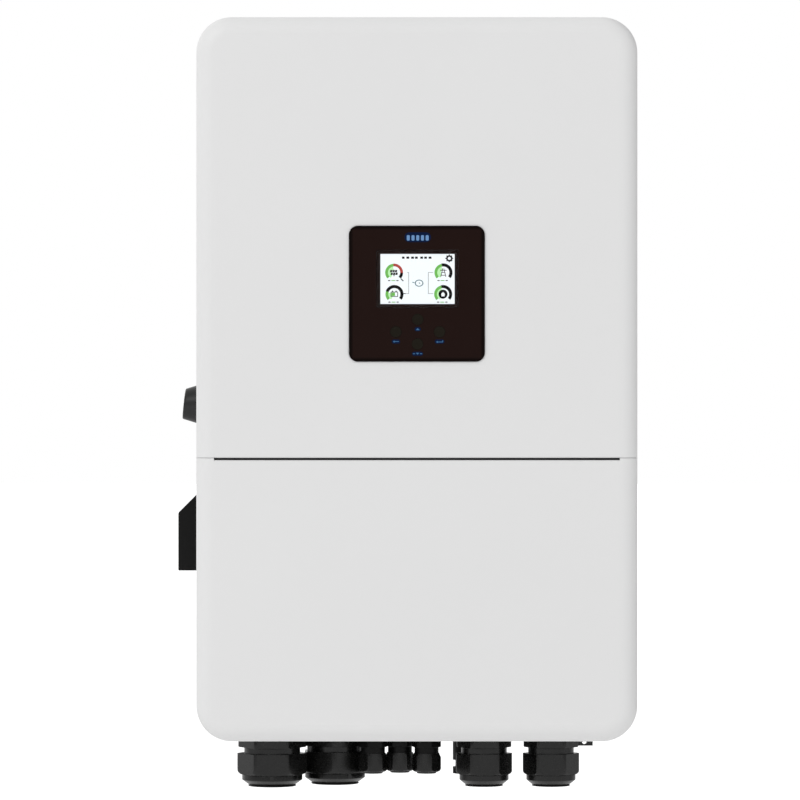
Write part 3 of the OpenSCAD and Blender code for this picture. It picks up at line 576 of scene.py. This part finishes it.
def gland_cap(solid, place, size, turn):
    """The turning nut: hexagon, rounded shoulder, collar that tapers to a flared end ring."""
    thread_r, bore, flats, _, collar, ring, seal, round_s, shoulder, collar_end, end = size[:11]
    corner = flats / math.sqrt(3)
    k = round_s / 4.9
    large = flats > 40
    top_cut = 0.2 if large else 4.2
    top_r = corner - 0.2 if large else flats / 2
    levels = [(thread_r - 0.9, NUT_START, False), (flats / 2 - 0.8, NUT_START, True),
              (top_r, NUT_START, True), (corner, NUT_START + top_cut, True),
              (corner, shoulder - round_s, True)]
    levels += [(r, z, True) for r, z in arc_profile(corner, shoulder, round_s)[1:]]
    levels.append((collar, shoulder + 0.2, False))
    taper_start = shoulder + TAPER_FROM * (collar_end - shoulder)
    lip = end - collar_end
    levels += [(collar, taper_start, False), (ring + 0.1, collar_end - 0.1, False),
               (ring - 0.4 * lip, end - 0.85 * lip, False), (ring, end - 0.45 * lip, False),
               (ring, end - 0.15 * lip, False), (ring - 0.15 * lip, end, False),
               (seal + 1.5, end, False), (seal + 1.0, end - 0.5, False),
               (seal + 1.0, collar_end - 2.0, False), (bore + 0.6, collar_end - 2.0, False),
               (bore + 0.6, 28.2, False), (thread_r - 0.9, 28.2, False)]
    solid.loft(hex_rings(place, flats, turn, levels), closed_end=False)


def gland_seal(solid, place, size):
    """Rubber bush with ribs in its bore, which the cable closes."""
    bore, seal, collar_end, end = size[1], size[6], size[9], size[10]
    profile = [(bore + 0.5, 28.3), (bore + 0.5, collar_end - 2.1), (seal + 0.9, collar_end - 2.0),
               (seal + 0.9, end - 1.4), (seal + 0.4, end - 1.0)]
    z = end - 1.0
    while z > 29.5:
        profile += [(seal + 0.05, z), (seal + 0.45, z - 0.6), (seal + 0.45, z - 1.0)]
        z -= 1.6
    profile += [(seal + 0.05, 28.6), (seal + 0.3, 28.3)]
    solid.lathe(place, profile)


# thread, bore, across flats, neck, collar, end ring, seal bore, shoulder rounding, end of shoulder,
# of collar and of nut, across flats of the fixed hexagon, as in the CAD
M50 = (25, 19.5, 59.2, 27.3, 29.4, 23.4, 17, 4.9, 38.3, 47.7, 49.6, 57.6)
M40 = (20, 15.5, 47.9, 22.3, 24, 18.6, 13, 3.9, 38.3, 47.9, 49.5, 46.6)
M20 = (10, 7.2, 24.8, 11.7, 10, 9.4, 5.5, 3.9, 36, 36.8, 37.4, 24.8)
TURNS = {"battery": (0, 30), "signal": (10, 0, -10), "ac": (1, -2)}


def gland_spots():
    """Where the CAD has each gland: the mounts named after their cables."""
    spots = {"battery": [], "signal": [], "ac": []}
    for mount in frame["record"]["mounts"]:
        kind = mount["name"].split("_cable_")[0]
        if "_cable_" in mount["name"]:
            spots[kind].append((mount["pos_m"][0] / MM, -mount["pos_m"][1] / MM))
    return spots


def glands():
    for kind, size in (("battery", M50), ("signal", M20), ("ac", M40)):
        base, cap, seal = Solid(), Solid(), Solid()
        for (x, f), turn in zip(gland_spots()[kind], TURNS[kind]):
            gland_base(base, hung_from(x, f), size, turn)
            gland_cap(cap, hung_from(x, f), size, turn)
            gland_seal(seal, hung_from(x, f), size)
        # painted shade: the signal glands' bases take the darker, duller black plastic for the shadow they sit in
        # under the floor; their slot stays gland plastic
        finish = "black_plastic" if kind == "signal" else "gland_plastic"
        base.piece(kind + "_gland_base", finish, kind + "_gland_bodies", slot="gland_plastic")
        cap.piece(kind + "_gland_cap", "gland_plastic", kind + "_gland_nuts")
        seal.piece(kind + "_gland_bush", "seal_rubber", kind + "_gland_seals")


# ---- display

def screen_marks():
    """The picture on the screen: four energy-flow gauges round a generic flow symbol."""
    cx, _, cu = centre_mm("display_lens")
    f0 = box_mm("lcd_module")[1][1]
    layers = {}

    def draw(material, outline, level=1):
        top = f0 + 0.05 * level
        layer = layers.setdefault(("screen_" + material if material else "screen", level), Solid())
        layer.plate([(cx + x, cu + u) for x, u in outline], top - 0.04, top)

    for x0, x1 in ((-14.8, -12.4), (-10.6, -7.9), (-6.1, -3.4), (-2.4, 0.2), (2.6, 5.3),
                   (6.4, 9.0), (10.6, 13.3)):
        draw("ink", bar(x0, 20.3, x1, 20.3, 2.0))
    draw("ink", band(30.3, 19.6, 1.5, 3.0, 0, 180))
    draw("ink", band(30.3, 19.6, 1.5, 3.0, 180, 360))
    for i in range(8):
        c, d = math.cos(math.pi / 4 * i), math.sin(math.pi / 4 * i)
        draw("ink", bar(30.3 + 2.8 * c, 19.6 + 2.8 * d, 30.3 + 3.7 * c, 19.6 + 3.7 * d, 1.1))
    gauges = ((-22.4, 6.1, 95, "red"), (24.6, 6.1, 102, "ink"),
              (-22.1, -14.5, 160, "ink"), (24.3, -14.5, 102, "ink"))
    outer, inner = 8.45, 5.8
    for i, (x, u, split, rest) in enumerate(gauges):
        draw("green", band(x, u, inner, outer, split, 222))
        if rest == "red":
            draw("red", band(x, u, inner + 0.2, outer + 0.1, -2, split))
            draw("ink", band(x, u, inner + 0.1, outer + 0.2, -42, -2))
        else:
            draw(rest, band(x, u, inner, outer + 0.3, -38, split))
        draw("pale_green", band(x, u, inner - 3.4, inner, split + 4, 238), 1)
        for dx in (-5.6, 2.2):
            draw("ink", bar(x + dx, u - 7.6, x + dx + 2.0, u - 7.6, 0.9))
        draw("green", bar(x - 2.6, u - 7.6, x + 1.2, u - 7.6, 0.8))
        if i == 0:                        # solar cells
            for j in range(6):
                left, top = x - 3.4 + 2.3 * (j % 3) + 0.5 * (j // 3), u + 2.5 - 2.6 * (j // 3)
                draw("ink", [(left, top), (left - 0.5, top - 2.2), (left + 1.5, top - 2.2),
                                    (left + 1.9, top)], 2)
            draw("ink", bar(x, u - 2.3, x, u - 3.6, 0.8), 2)
            draw("ink", bar(x + 6.6, u - 5.9, x + 8.9, u - 8.1, 1.0))
        elif i == 1:                      # pylon
            for dx in (-1, 1):
                draw("ink", bar(x + 2.4 * dx, u - 4.0, x + 0.5 * dx, u + 3.9, 0.6), 2)
            for level_u, half in ((-2.6, 2.6), (0.2, 2.0), (2.2, 3.1)):
                draw("ink", bar(x - half, u + level_u, x + half, u + level_u, 0.6), 3)
        elif i == 2:                      # battery
            for x0, u0, x1, u1 in ((-3.2, -2.2, -3.2, 2.0), (3.2, -2.2, 3.2, 2.0),
                                   (-3.5, 2.0, 3.5, 2.0), (-3.5, -2.2, 3.5, -2.2)):
                draw("ink", bar(x + x0, u + u0, x + x1, u + u1, 0.6), 2)
            for dx in (-1.7, 1.7):
                draw("ink", bar(x + dx - 0.6, u + 2.8, x + dx + 0.6, u + 2.8, 0.9), 2)
            draw("green", [(x - 2.7, u - 1.7), (x + 0.6, u - 1.7), (x + 0.6, u + 1.5),
                                  (x - 2.7, u + 1.5)], 2)
        else:                             # house
            draw("ink", circle(x, u, 4.3), 2)
            draw("", [(x - 2.2, u - 0.1), (x, u + 2.1), (x + 2.2, u - 0.1),
                            (x + 1.5, u - 0.1), (x + 1.5, u - 2.1), (x - 1.5, u - 2.1),
                            (x - 1.5, u - 0.1)], 3)
    for x, tick in ((-8.4, -1.4), (10.3, 4.6)):
        draw("grey", bar(x, 6.4, x, -14.2, 0.55))
        for u in (6.2, -14.0):
            reach = tick if x > 0 or u > 0 else -3.2
            draw("grey", bar(x, u, x + reach, u, 0.5), 2)
    draw("ink", bar(-13.6, -14.0, -11.2, -14.0, 0.8))
    draw("teal", band(1.5, -4.0, 3.2, 4.1, 0, 180, 0.8))
    draw("teal", band(1.5, -4.0, 3.2, 4.1, 180, 360, 0.8))
    draw("teal", bar(-4.9, -3.1, -2.9, -3.5, 0.7))
    draw("teal", bar(1.3, -3.4, 2.5, -4.6, 0.5), 2)
    for (material, level), solid in layers.items():
        solid.piece("picture_%s_%d" % (material, level), material, slot="screen")


def panel_marks():
    """Generic marks on the panel: a segmented status light, and a lit sign under each key."""
    f0 = box_mm("display_panel")[1][1]
    px, _, pu = centre_mm("display_panel")
    halo, core, signs = Solid(), Solid(), Solid()
    halo.plate(capsule(px + 0.8, pu + 53.8, 25.4, 9.4), f0 - 0.01, f0 + 0.02)
    for i in range(5):
        core.plate(rounded(px + 0.8 + 4.5 * (i - 2), pu + 53.2, 2.9, 5.2, 1.0),
                   f0 - 0.01, f0 + 0.05)
    for key, width in (("key_up", 6.0), ("key_esc", 8.0), ("key_enter", 9.2), ("key_down", 10.4)):
        kx, _, ku = centre_mm(key)
        u = ku - 9.2
        halo.plate(capsule(kx, u, width, 3.9), f0 - 0.01, f0 + 0.02)
        if key == "key_up":
            shapes = [[(kx - 1.9, u - 0.9), (kx + 1.9, u - 0.9), (kx, u + 1.0)]]
        elif key == "key_down":
            shapes = [[(kx - 1.7, u + 0.9), (kx, u - 1.0), (kx + 1.7, u + 0.9)],
                      bar(kx - 4.4, u, kx - 2.3, u, 0.8), bar(kx + 2.3, u, kx + 4.4, u, 0.8)]
        elif key == "key_esc":
            shapes = [bar(kx - 2.2, u, kx + 2.8, u, 0.7),
                      [(kx - 2.9, u), (kx - 1.3, u - 1.1), (kx - 1.3, u + 1.1)]]
        else:
            shapes = [bar(kx - 2.6, u - 0.4, kx + 3.2, u - 0.4, 0.7),
                      bar(kx + 3.0, u - 0.6, kx + 3.0, u + 1.1, 0.7),
                      [(kx - 3.4, u - 0.4), (kx - 1.8, u - 1.5), (kx - 1.8, u + 0.7)]]
        for i, outline in enumerate(shapes):
            signs.plate(outline, f0 - 0.01, f0 + 0.05 + 0.01 * i)
    halo.piece("status_light_halo", "status_halo", slot="panel_gloss")
    core.piece("status_light_core", "status_core", slot="panel_gloss")
    signs.piece("key_signs", "key_sign", slot="panel_gloss")


def keys():
    """Each key: a dished cap with a rounded rim on its stem, riding with its own body."""
    for name in ("key_esc", "key_up", "key_enter", "key_down"):
        low, high = box_mm(name)
        x, _, u = centre_mm(name)
        back, face = low[1], high[1]
        flange = (high[0] - low[0]) / 2
        r = flange - 0.9

        def place(a, b, f, x=x, u=u):
            return at(x + a, f, u + b)

        flange_f = back + 4.2
        profile = [(2.0, back), (2.0, flange_f), (flange, flange_f), (flange, flange_f + 1.0),
                   (r, flange_f + 1.0), (r, face - 0.5), (r - 0.15, face - 0.2),
                   (r - 0.5, face), (r - 1.0, face - 0.05)]
        profile += [(r * k, face - 0.05 - 0.4 * (1 - k ** 2)) for k in (0.7, 0.5, 0.3, 0.12)]
        solid = Solid()
        solid.lathe(place, profile, steps=48, closed_end=True)
        solid.piece(name + "_cap", "key_plastic", name, body=name)


# ---- side controls

def seam_shade_strip():
    """Dark rubber strip at the bottom of the groove between the two covers, put there as painted shade that
    darkens the groove.
    """
    seam_u = box_mm("wiring_cover")[1][2] - SEAM_STEP
    face_f, half_x = box_mm("wiring_cover")[1][1], box_mm("wiring_cover")[1][0] - 17.0
    # painted shade: a dark rubber strip set into the groove to darken it
    shade_strip = Solid()
    shade_strip.box((-half_x, face_f - 8.0, seam_u - 0.95),
             (half_x, face_f - SEAM_DEPTH, seam_u + 0.95), 0.3)
    shade_strip.piece("cover_seam_shade_strip", "gasket_rubber")


def isolator():
    """Rounded hood round a fluted rotary knob with a grip and a pale pointer."""
    low, high = box_mm("isolator_hood")
    wall, rim = high[0], low[0]
    f0, f1, u0, u1 = low[1], high[1], low[2], high[2]
    corner = u1 - (wall - rim)            # the roof falls 45 degrees from the wall to here
    t, slope = 3.0, 3.0 * math.sqrt(2)
    outer = [(wall, u0), (rim, u0), (rim, corner), (wall, u1)]
    base_x = wall - t
    work = bmesh.new()
    front = [work.verts.new(at(x, f1, u)) for x, u in outer]
    back = [work.verts.new(at(x, f0, u)) for x, u in outer]
    roof = u1 - slope

    def opening(x):
        top = roof - (wall - x)
        return [work.verts.new(at(x, f, u)) for f, u in
                ((f1 - t, u0 + t), (f1 - t, top), (f0 + t, top), (f0 + t, u0 + t))]

    mouth, bottom = opening(rim), opening(base_x)
    quads = [[front[i] for i in (0, 1, 2, 3)], [back[i] for i in (3, 2, 1, 0)],
             [front[0], back[0], back[1], front[1]], [front[2], back[2], back[3], front[3]],
             [front[3], back[3], back[0], front[0]]]
    corners = [front[1], front[2], back[2], back[1]]
    for i in range(4):
        j = (i + 1) % 4
        quads.append([corners[i], corners[j], mouth[j], mouth[i]])
        quads.append([mouth[i], mouth[j], bottom[j], bottom[i]])
    quads.append(bottom)
    for quad in quads:
        work.faces.new(quad)
    bmesh.ops.recalc_face_normals(work, faces=work.faces)
    bmesh.ops.bevel(work, geom=list(work.edges), offset=0.9 * MM, segments=3, profile=0.6,
                    affect="EDGES", clamp_overlap=True)
    work.verts.index_update()
    hood = add_mesh("isolator_hood_shell", [v.co.copy() for v in work.verts],
                    [tuple(v.index for v in f.verts) for f in work.faces], "black_plastic")
    work.free()
    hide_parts("isolator_hood")

    _, f, u = centre_mm("isolator_knob")
    place = axis_place(at(wall, f, u), Vector((-1, 0, 0)), Vector((0, 0, 1)))
    knob = Solid()
    steps = 144
    rings = []
    for r, z, flute in ((4.0, -13.8, 0), (4.0, 3.5, 0), (18.8, 3.5, 0), (19.8, 4.2, 1),
                        (19.8, 7.4, 1), (19.2, 8.4, 1), (17.6, 8.9, 0), (6.0, 9.2, 0),
                        (0.6, 9.2, 0)):
        ring = []
        for i in range(steps):
            a = 2 * math.pi * i / steps
            rr = r - 0.45 * flute * (0.5 + 0.5 * math.cos(24 * a))
            ring.append(place(rr * math.cos(a), rr * math.sin(a), z))
        rings.append(ring)
    knob.loft(rings)
    knob.box((-18.2, -4.8, 8.5), (18.2, 4.8, 19.8), 2.2, place)
    knob.piece("isolator_knob_grip", "knob_plastic", "isolator_knob", body="isolator_knob")
    pointer = Solid()
    pointer.box((9.0, -0.9, 19.7), (17.0, 0.9, 19.95), 0.1, place)
    pointer.piece("isolator_pointer", "pale_print", body="isolator_knob", slot="knob_plastic")


CONE_R, CONE_TIP_R, CONE_LENGTH = 20.0, 13.5, 21.3        # the housing's whole cone, as in the CAD


def power_button():
    """Tapered housing that meets the wall squarely, with a dished metal button inside."""
    press = next(j for j in frame["joints"] if j["name"] == "power_button_press")
    out = -Vector(press["axis"]).normalized()
    wall = box_mm("power_button_bezel")[1][0]
    _, centre_f, centre_u = centre_mm("power_button_bezel")
    middle = at(*centre_mm("power_button"))
    origin = middle + out * ((wall * MM - middle.x) / out.x)
    place = axis_place(origin, out, Vector((0, 0, 1)))
    steps, reach, bore = 96, 17.3, 9.0
    turns = [2 * math.pi * i / steps for i in range(steps)]
    falling = (CONE_R - CONE_TIP_R) / CONE_LENGTH
    lean_out, lean_up = -out.x, out.z
    lift = centre_u - (origin.z - UNDERSIDE_Z) / MM

    def on_cone(t, share):
        """A point of the cone, from the wall (share 0) to the slanting face (share 1)."""
        full = ((reach - (lift + CONE_R * math.sin(t)) * lean_up)
                / (lean_out - falling * math.sin(t) * lean_up))
        d = full * share
        r = CONE_R - falling * d
        return at(wall - d, centre_f - r * math.cos(t), centre_u + r * math.sin(t))

    def on_face(r, z):
        return [place(r * math.cos(t), r * math.sin(t), z) for t in turns]

    middle_of_face = place(0, 0, reach)
    rings = [[at(wall, centre_f - bore * math.cos(t), centre_u + bore * math.sin(t))
              for t in turns]]
    rings += [[on_cone(t, share) for t in turns] for share in (-0.02, 0.3, 0.6, 0.85, 0.965)]
    rings.append([p + (middle_of_face - p).normalized() * 0.5 * MM
                  for p in (on_cone(t, 1.0) for t in turns)])
    rings += [on_face(bore + 1.6, reach), on_face(bore + 0.7, reach - 0.5),
              on_face(bore, reach - 1.3)]
    bezel = Solid()
    bezel.loft(rings, closed_end=False)
    bezel.piece("power_button_housing", "dark_grey_plastic", "power_button_bezel")
    cap = Solid()
    r = 8.9
    profile = [(r, -4.6), (r, reach - 1.6), (r - 0.3, reach - 1.1), (r - 0.9, reach - 0.8)]
    profile += [(r * k, reach - 0.9 - 1.3 * (1 - k ** 2)) for k in (0.85, 0.7, 0.5, 0.3, 0.1)]
    cap.lathe(place, profile, closed_end=True)
    cap.piece("power_button_cap", "button_metal", "power_button", body="power_button")


# ---- fans

def fans():
    """Rotors with swept, twisted blades on a domed hub."""
    for name in ("fan_rotor_left", "fan_rotor_middle", "fan_rotor_right"):
        low, high = box_mm(name)
        x, f, _ = centre_mm(name)
        tip = (high[0] - low[0]) / 2
        foot = low[2]

        def place(a, b, z, x=x, f=f, foot=foot):
            return at(x + a, f - b, foot + z)

        rotor = Solid()
        rotor.lathe(place, [(1.9, 0.0), (1.9, 3.2), (14.2, 3.2), (15.0, 4.0), (15.0, 20.6),
                            (14.4, 21.8), (13.0, 22.4), (6.0, 22.4), (5.4, 22.0), (0.5, 22.0)],
                    steps=72, closed_end=True)
        blades, spans = 7, 7
        for blade in range(blades):
            rings = []
            for i in range(spans):
                k = i / (spans - 1)
                r = 14.6 + (tip - 14.9) * k
                sweep = 2 * math.pi * blade / blades + 0.22 * k ** 1.5
                pitch = math.radians(44 - 16 * k)
                chord = 15.5 + 2.5 * k
                ring = []
                for across in (-0.5, -0.25, 0.0, 0.25, 0.5, 0.25, 0.0, -0.25):
                    top = len(ring) >= 4
                    arch = 1.5 * (1 - 4 * across ** 2) + (0.0 if top else 1.1 * (1 - abs(across)))
                    along = across * chord
                    theta = sweep + along * math.cos(pitch) / r
                    ring.append(place(r * math.cos(theta), r * math.sin(theta),
                                      12.6 + along * math.sin(pitch) + arch * math.cos(pitch)))
                rings.append(ring)
            rotor.loft(rings)
        rotor.piece(name + "_wheel", "black_plastic", name, body=name)


# ---- wiring room

def wiring_room():
    """Internal leads that show when the wiring cover is off."""
    shelf_u = box_mm("compartment_shelf")[1][2] - 12.6
    iso_low, iso_high = box_mm("isolator_body")
    lug_x = iso_low[0] + 15.0 + 31.0
    lugs_f = [(iso_low[1] + iso_high[1]) / 2 + d for d in (15, 5, -5, -15)]
    solar = []
    for pole in ("pv_plus_sockets", "pv_minus_plugs"):
        low, high = box_mm(pole)
        f = (low[1] + high[1]) / 2
        solar += [(low[0] + 10.9, f, pole), (high[0] - 10.9, f, pole)]
    grommets = []
    for i, (x, f, pole) in enumerate(sorted(solar)):
        colour = "lead_red" if pole == "pv_plus_sockets" else "lead_black"
        lug = (lug_x, lugs_f[i])
        wire("solar_lead_%d" % i, [(x, f, 11), (x, f + 2, 45), (x * 0.6 + lug[0] * 0.4, f + 14, 95),
                                   (*lug, 135), (*lug, iso_low[2] + 4)], 2.7, colour)
        top = (-178 + 13 * i, 150 + 4 * (i % 2))
        wire("isolator_lead_%d" % i, [(*lug, iso_high[2] - 4), (*lug, iso_high[2] + 10),
                                      (*top, shelf_u - 16), (*top, shelf_u)], 2.7, colour)
        grommets.append((*top, 4.6))
    for i, x in enumerate((-150, -80)):
        colour = ("lead_red", "lead_black")[i]
        top = (-100 + 34 * i, 190 - 8 * i)
        wire("battery_lead_%d" % i, [(x, 118, 128), (x + 3, 119, 150), (x + 12, 134, 190),
                                     (top[0], top[1], 238), (top[0], top[1], shelf_u)], 5.2, colour)
        grommets.append((*top, 8.2))
    phases = ("lead_brown", "lead_black", "lead_grey", "lead_blue", "lead_green")
    for block, x0 in enumerate((66, 131)):
        for i, colour in enumerate(phases):
            x = x0 + 11 * (i - 2)
            top = (x0 + 8.5 * (i - 2), 126 + 10 * (i % 2))
            wire("ac_lead_%d_%d" % (block, i), [(x, 99, 133), (x, 99, 148),
                                                ((x + top[0]) / 2, 112, 190),
                                                (*top, 240), (*top, shelf_u)], 2.6, colour)
            grommets.append((*top, 4.4))
    for i in range(6):
        x = -34 + 8 * i
        top = (-20 + 3.4 * i, 118 + 5 * (i % 2))
        wire("signal_lead_%d" % i, [(x, 97, 176), (x, 106, 190), ((x + top[0]) / 2, 114, 220),
                                    (*top, 250), (*top, shelf_u)], 1.1,
             ("lead_grey", "lead_black", "lead_red", "lead_blue", "lead_brown", "lead_green")[i])
    grommets.append((-11.5, 120.5, 12.5))
    rings = Solid()
    for x, f, r in grommets:
        rings.lathe(hung_from(x, f, shelf_u + 0.2),
                    [(r - 1.2, 0), (r + 1.6, 0), (r + 1.6, 1.4), (r + 0.9, 2.2), (r - 0.4, 2.2),
                     (r - 1.2, 1.4)], steps=32)
    rings.piece("shelf_grommets", "seal_rubber")


def battery_terminals():
    """Two insulating feet, each with a brass stud, washer and nut."""
    low, high = box_mm("battery_terminals")
    feet, studs = Solid(), Solid()
    half_w, half_h = 22.0, (high[2] - low[2]) / 2
    u, back, end = (low[2] + high[2]) / 2, low[1], high[1]
    for x in (low[0] + half_w, high[0] - half_w):
        feet.box((x - half_w, back, u - half_h), (x + half_w, back + 16, u + half_h), 2.0)
        feet.box((x - 15, back + 15.5, u - 14), (x + 15, back + 22, u + 14), 2.0)
        for side in (-1, 1):
            feet.box((x + 17 * side - 1.2, back + 15, u - half_h + 1),
                     (x + 17 * side + 1.2, back + 30, u + half_h - 1), 0.8)

        def place(a, b, z, x=x):
            return at(x + a, back + z, u + b)

        studs.lathe(place, [(5.0, 21.0)] + thread_profile(5.0, 21.0, end - back - 1.0, 1.5, 0.6)
                    + [(4.0, end - back)], steps=40, closed_end=True)
        studs.lathe(place, [(5.2, 22.0), (11.0, 22.0), (11.0, 24.0), (10.6, 24.4), (5.2, 24.4)])
        studs.loft(hex_rings(place, 17.0, 0, [(5.2, 24.5, False), (9.0, 24.5, True),
                                              (9.7, 25.2, True), (9.7, 31.0, True),
                                              (9.0, 31.7, True), (5.2, 31.7, False)], 72),
                   closed_end=False)
    feet.piece("battery_terminal_feet", "black_plastic", "battery_terminals")
    studs.piece("battery_terminal_studs", "brass")


def signal_board():
    """Board with green plug-in terminals, chips and small parts."""
    low, high = box_mm("signal_board")
    back = low[1]
    parts = {name: Solid() for name in ("board", "green", "chip", "steel", "pale")}
    parts["board"].box((low[0], back + 8, low[2]), (high[0], back + 9.6, high[2]), 0.2)
    for x in (low[0] + 6, high[0] - 6):
        for u in (low[2] + 6, high[2] - 6):
            parts["steel"].lathe(lambda a, b, z, x=x, u=u: at(x + a, back + z, u + b),
                                 [(3.0, 0), (3.0, 8), (2.9, 9.6), (2.9, 10.9), (2.2, 11.6),
                                  (0.4, 11.6)], 24, True)
    f = back + 9.6
    for i in range(5):
        x = low[0] + 14 + 14 * i
        parts["green"].box((x - 6.2, f, low[2] + 3), (x + 6.2, f + 12, low[2] + 14), 0.8)
        for j in range(3):
            px = x - 4 + 4 * j
            parts["steel"].lathe(lambda a, b, z, px=px: at(px + a, f + z, low[2] + 9.5 + b),
                                 [(1.4, 11.5), (1.4, 12.1), (1.1, 12.3), (0.2, 12.0)], 20, True)
    for x, u, w, h, t in ((-12, 62, 12, 12, 2.2), (10, 50, 8, 5, 1.8), (-34, 48, 7, 5, 1.8),
                          (14, 76, 6, 10, 3.0), (-32, 76, 9, 9, 4.5)):
        parts["chip"].box((x - w / 2, f, low[2] + u - h / 2),
                          (x + w / 2, f + t, low[2] + u + h / 2), 0.3)
    for i in range(46):
        x = rng.uniform(low[0] + 6, high[0] - 6)
        u = rng.uniform(low[2] + 20, high[2] - 12)
        w, h = rng.choice(((1.6, 0.8), (0.8, 1.6), (2.0, 1.2)))
        parts["pale" if i % 2 else "chip"].box(
            (x - w / 2, f, u - h / 2), (x + w / 2, f + rng.uniform(0.5, 0.9), u + h / 2), 0.1)
    parts["board"].piece("signal_board_plate", "circuit_board", "signal_board")
    parts["green"].piece("signal_board_terminals", "terminal_green", slot="circuit_board")
    parts["chip"].piece("signal_board_chips", "black_plastic")
    parts["steel"].piece("signal_board_screws", "bright_steel")
    parts["pale"].piece("signal_board_parts", "pale_print", slot="circuit_board")


def ac_screws():
    """Clamp screws in the wells of the AC terminal blocks."""
    low, high = box_mm("ac_terminal_blocks")
    screws = Solid()
    for x0 in (low[0] + 27, high[0] - 27):
        for i in range(-2, 3):
            for u in (low[2] + 10, low[2] + 30):
                def place(a, b, z, x=x0 + 11 * i, u=u):
                    return at(x + a, high[1] - 12 + z, u + b)

                screws.lathe(place, [(2.9, 0.1), (2.9, 3.4), (2.5, 4.0), (0.3, 4.0)], 28, True)
    screws.piece("ac_terminal_screws", "bright_steel")


lit("screen_ink", (0.003, 0.003, 0.003), 0.05, False)
lit("screen_green", (0.16, 0.47, 0.09))
lit("screen_pale_green", (0.50, 0.84, 0.42))
lit("screen_red", (0.42, 0.055, 0.045))
lit("screen_grey", (0.30, 0.30, 0.30))
lit("screen_teal", (0.02, 0.11, 0.13))
lit("status_halo", (0.0015, 0.009, 0.042), 0.7, False)
lit("status_core", (0.14, 0.27, 0.50), 0.8, False)
lit("key_sign", (0.055, 0.15, 0.30), 0.7, False)
moulded("pale_print", (0.6, 0.6, 0.58), 0.5, 1500)
moulded("terminal_green", (0.03, 0.26, 0.09), 0.45)
for lead, colour in (("red", (0.42, 0.015, 0.012)), ("black", (0.02, 0.02, 0.02)),
                     ("brown", (0.10, 0.04, 0.02)), ("grey", (0.25, 0.25, 0.25)),
                     ("blue", (0.02, 0.08, 0.36)), ("green", (0.20, 0.38, 0.03))):
    moulded("lead_" + lead, colour, 0.45 if lead == "black" else 0.42, 500)

glands()
screen_marks()
panel_marks()
keys()
seam_shade_strip()
isolator()
power_button()
fans()
wiring_room()
battery_terminals()
signal_board()
ac_screws()

# ---- stage, light and camera

FLOOR_DROP = 0.42          # floor below the lowest gland, so that it stays out of the front view
CAMERA_BACK = 4.5          # from the front face
CAMERA_MM = (-16.1, 279 + CAMERA_BACK / MM, 326.7)
FRAME_WIDTH = 0.76264      # what the frame spans at the front face
SENSOR = 36.0
SKY, SKY_BACK_LEFT, SKY_BACK_RIGHT = 0.80, 1.2, 0.2     # the last two relative to the first
FLOOR_HALF = 40            # half the floor's side
FLOOR_SEEN, FLOOR_GLOW = 0.6, 0.12                        # its glow to the camera, and as light
FLOOR_GLOSS, FLOOR_GLOSS_BEHIND = 0.6, 0.03               # and in reflections, in front and behind


def stage():
    """A pale floor, see-through from below, in a white surround that is dim behind on the right."""
    floor_z = CAD_BOX[0][2] - FLOOR_DROP
    mesh = bpy.data.meshes.new("floor")
    mesh.from_pydata([(x * FLOOR_HALF, y * FLOOR_HALF, floor_z)
                      for x, y in ((-1, -1), (1, -1), (1, 1), (-1, 1))], [], [(0, 1, 2, 3)])
    floor = placed("floor", mesh)
    s = Shader("floor")
    path = s.node("LightPath").outputs
    depth = s.node("SeparateXYZ", Vector=s.coord).outputs["Y"]
    gloss = s.remap(depth, -1.0, 1.0, FLOOR_GLOSS, FLOOR_GLOSS_BEHIND)
    glow = s.math("ADD", FLOOR_GLOW,
                  s.math("MULTIPLY", path["Is Glossy Ray"], s.math("SUBTRACT", gloss, FLOOR_GLOW)))
    glow = s.math("MAXIMUM", glow, s.math("MULTIPLY", path["Is Camera Ray"], FLOOR_SEEN))
    s.finish(Base_Color=(0.86, 0.86, 0.86), Roughness=0.9, Specular_IOR_Level=0.1,
      Emission_Color=(1.0, 1.0, 1.0), Emission_Strength=glow)
    below = s.node("NewGeometry").outputs["Backfacing"]
    see_through = s.node("MixShader", Fac=below)
    s.tree.links.new(s.bsdf.outputs[0], see_through.inputs[1])
    s.tree.links.new(s.node("BsdfTransparent").outputs[0],
                     see_through.inputs[2])
    s.tree.links.new(see_through.outputs[0], s.out.inputs[0])
    mesh.materials.append(s.mat)

    world = bpy.data.worlds.new("studio")
    bpy.context.scene.world = world
    world.use_nodes = True
    sky = Shader("sky")
    sky.tree = tree = world.node_tree
    tree.nodes.clear()
    way = sky.node("SeparateXYZ",
                   Vector=sky.node("TexCoord").outputs["Generated"]).outputs
    behind = sky.remap(way["Y"], -0.05, 0.15)
    side = sky.remap(way["X"], 0.0, 0.5, SKY_BACK_LEFT - 1.0, SKY_BACK_RIGHT - 1.0)
    fill = sky.math("MULTIPLY", sky.math("ADD", 1.0, sky.math("MULTIPLY", behind, side)), SKY)
    seen = sky.node("LightPath").outputs["Is Camera Ray"]
    lamp = sky.node("Background", Strength=sky.math("MAXIMUM", fill, seen),
                    Color=(1, 1, 1, 1))
    out = sky.node("OutputWorld")
    tree.links.new(lamp.outputs[0], out.inputs[0])


def softbox(name, place, target, size, power):
    light = bpy.data.lights.new(name, "AREA")
    light.shape = "RECTANGLE"
    light.size, light.size_y = size
    light.energy = power
    lamp = placed(name, light)
    lamp.location = place
    lamp.rotation_euler = (Vector(target) - Vector(place)).to_track_quat("-Z", "Y").to_euler()


def camera():
    data = bpy.data.cameras.new("camera")
    data.sensor_width = SENSOR
    data.lens = SENSOR * CAMERA_BACK / FRAME_WIDTH
    data.clip_end = 200.0
    cam = placed("camera", data)
    cam.location = at(*CAMERA_MM)
    cam.rotation_euler = (math.pi / 2, 0, 0)
    bpy.context.scene.camera = cam


stage()
softbox("key", (-3.0, -4.2, 3.2), (0, -0.15, -0.2), (2.4, 2.4), 60)
camera()
bpy.context.scene.view_settings.view_transform = "Standard"
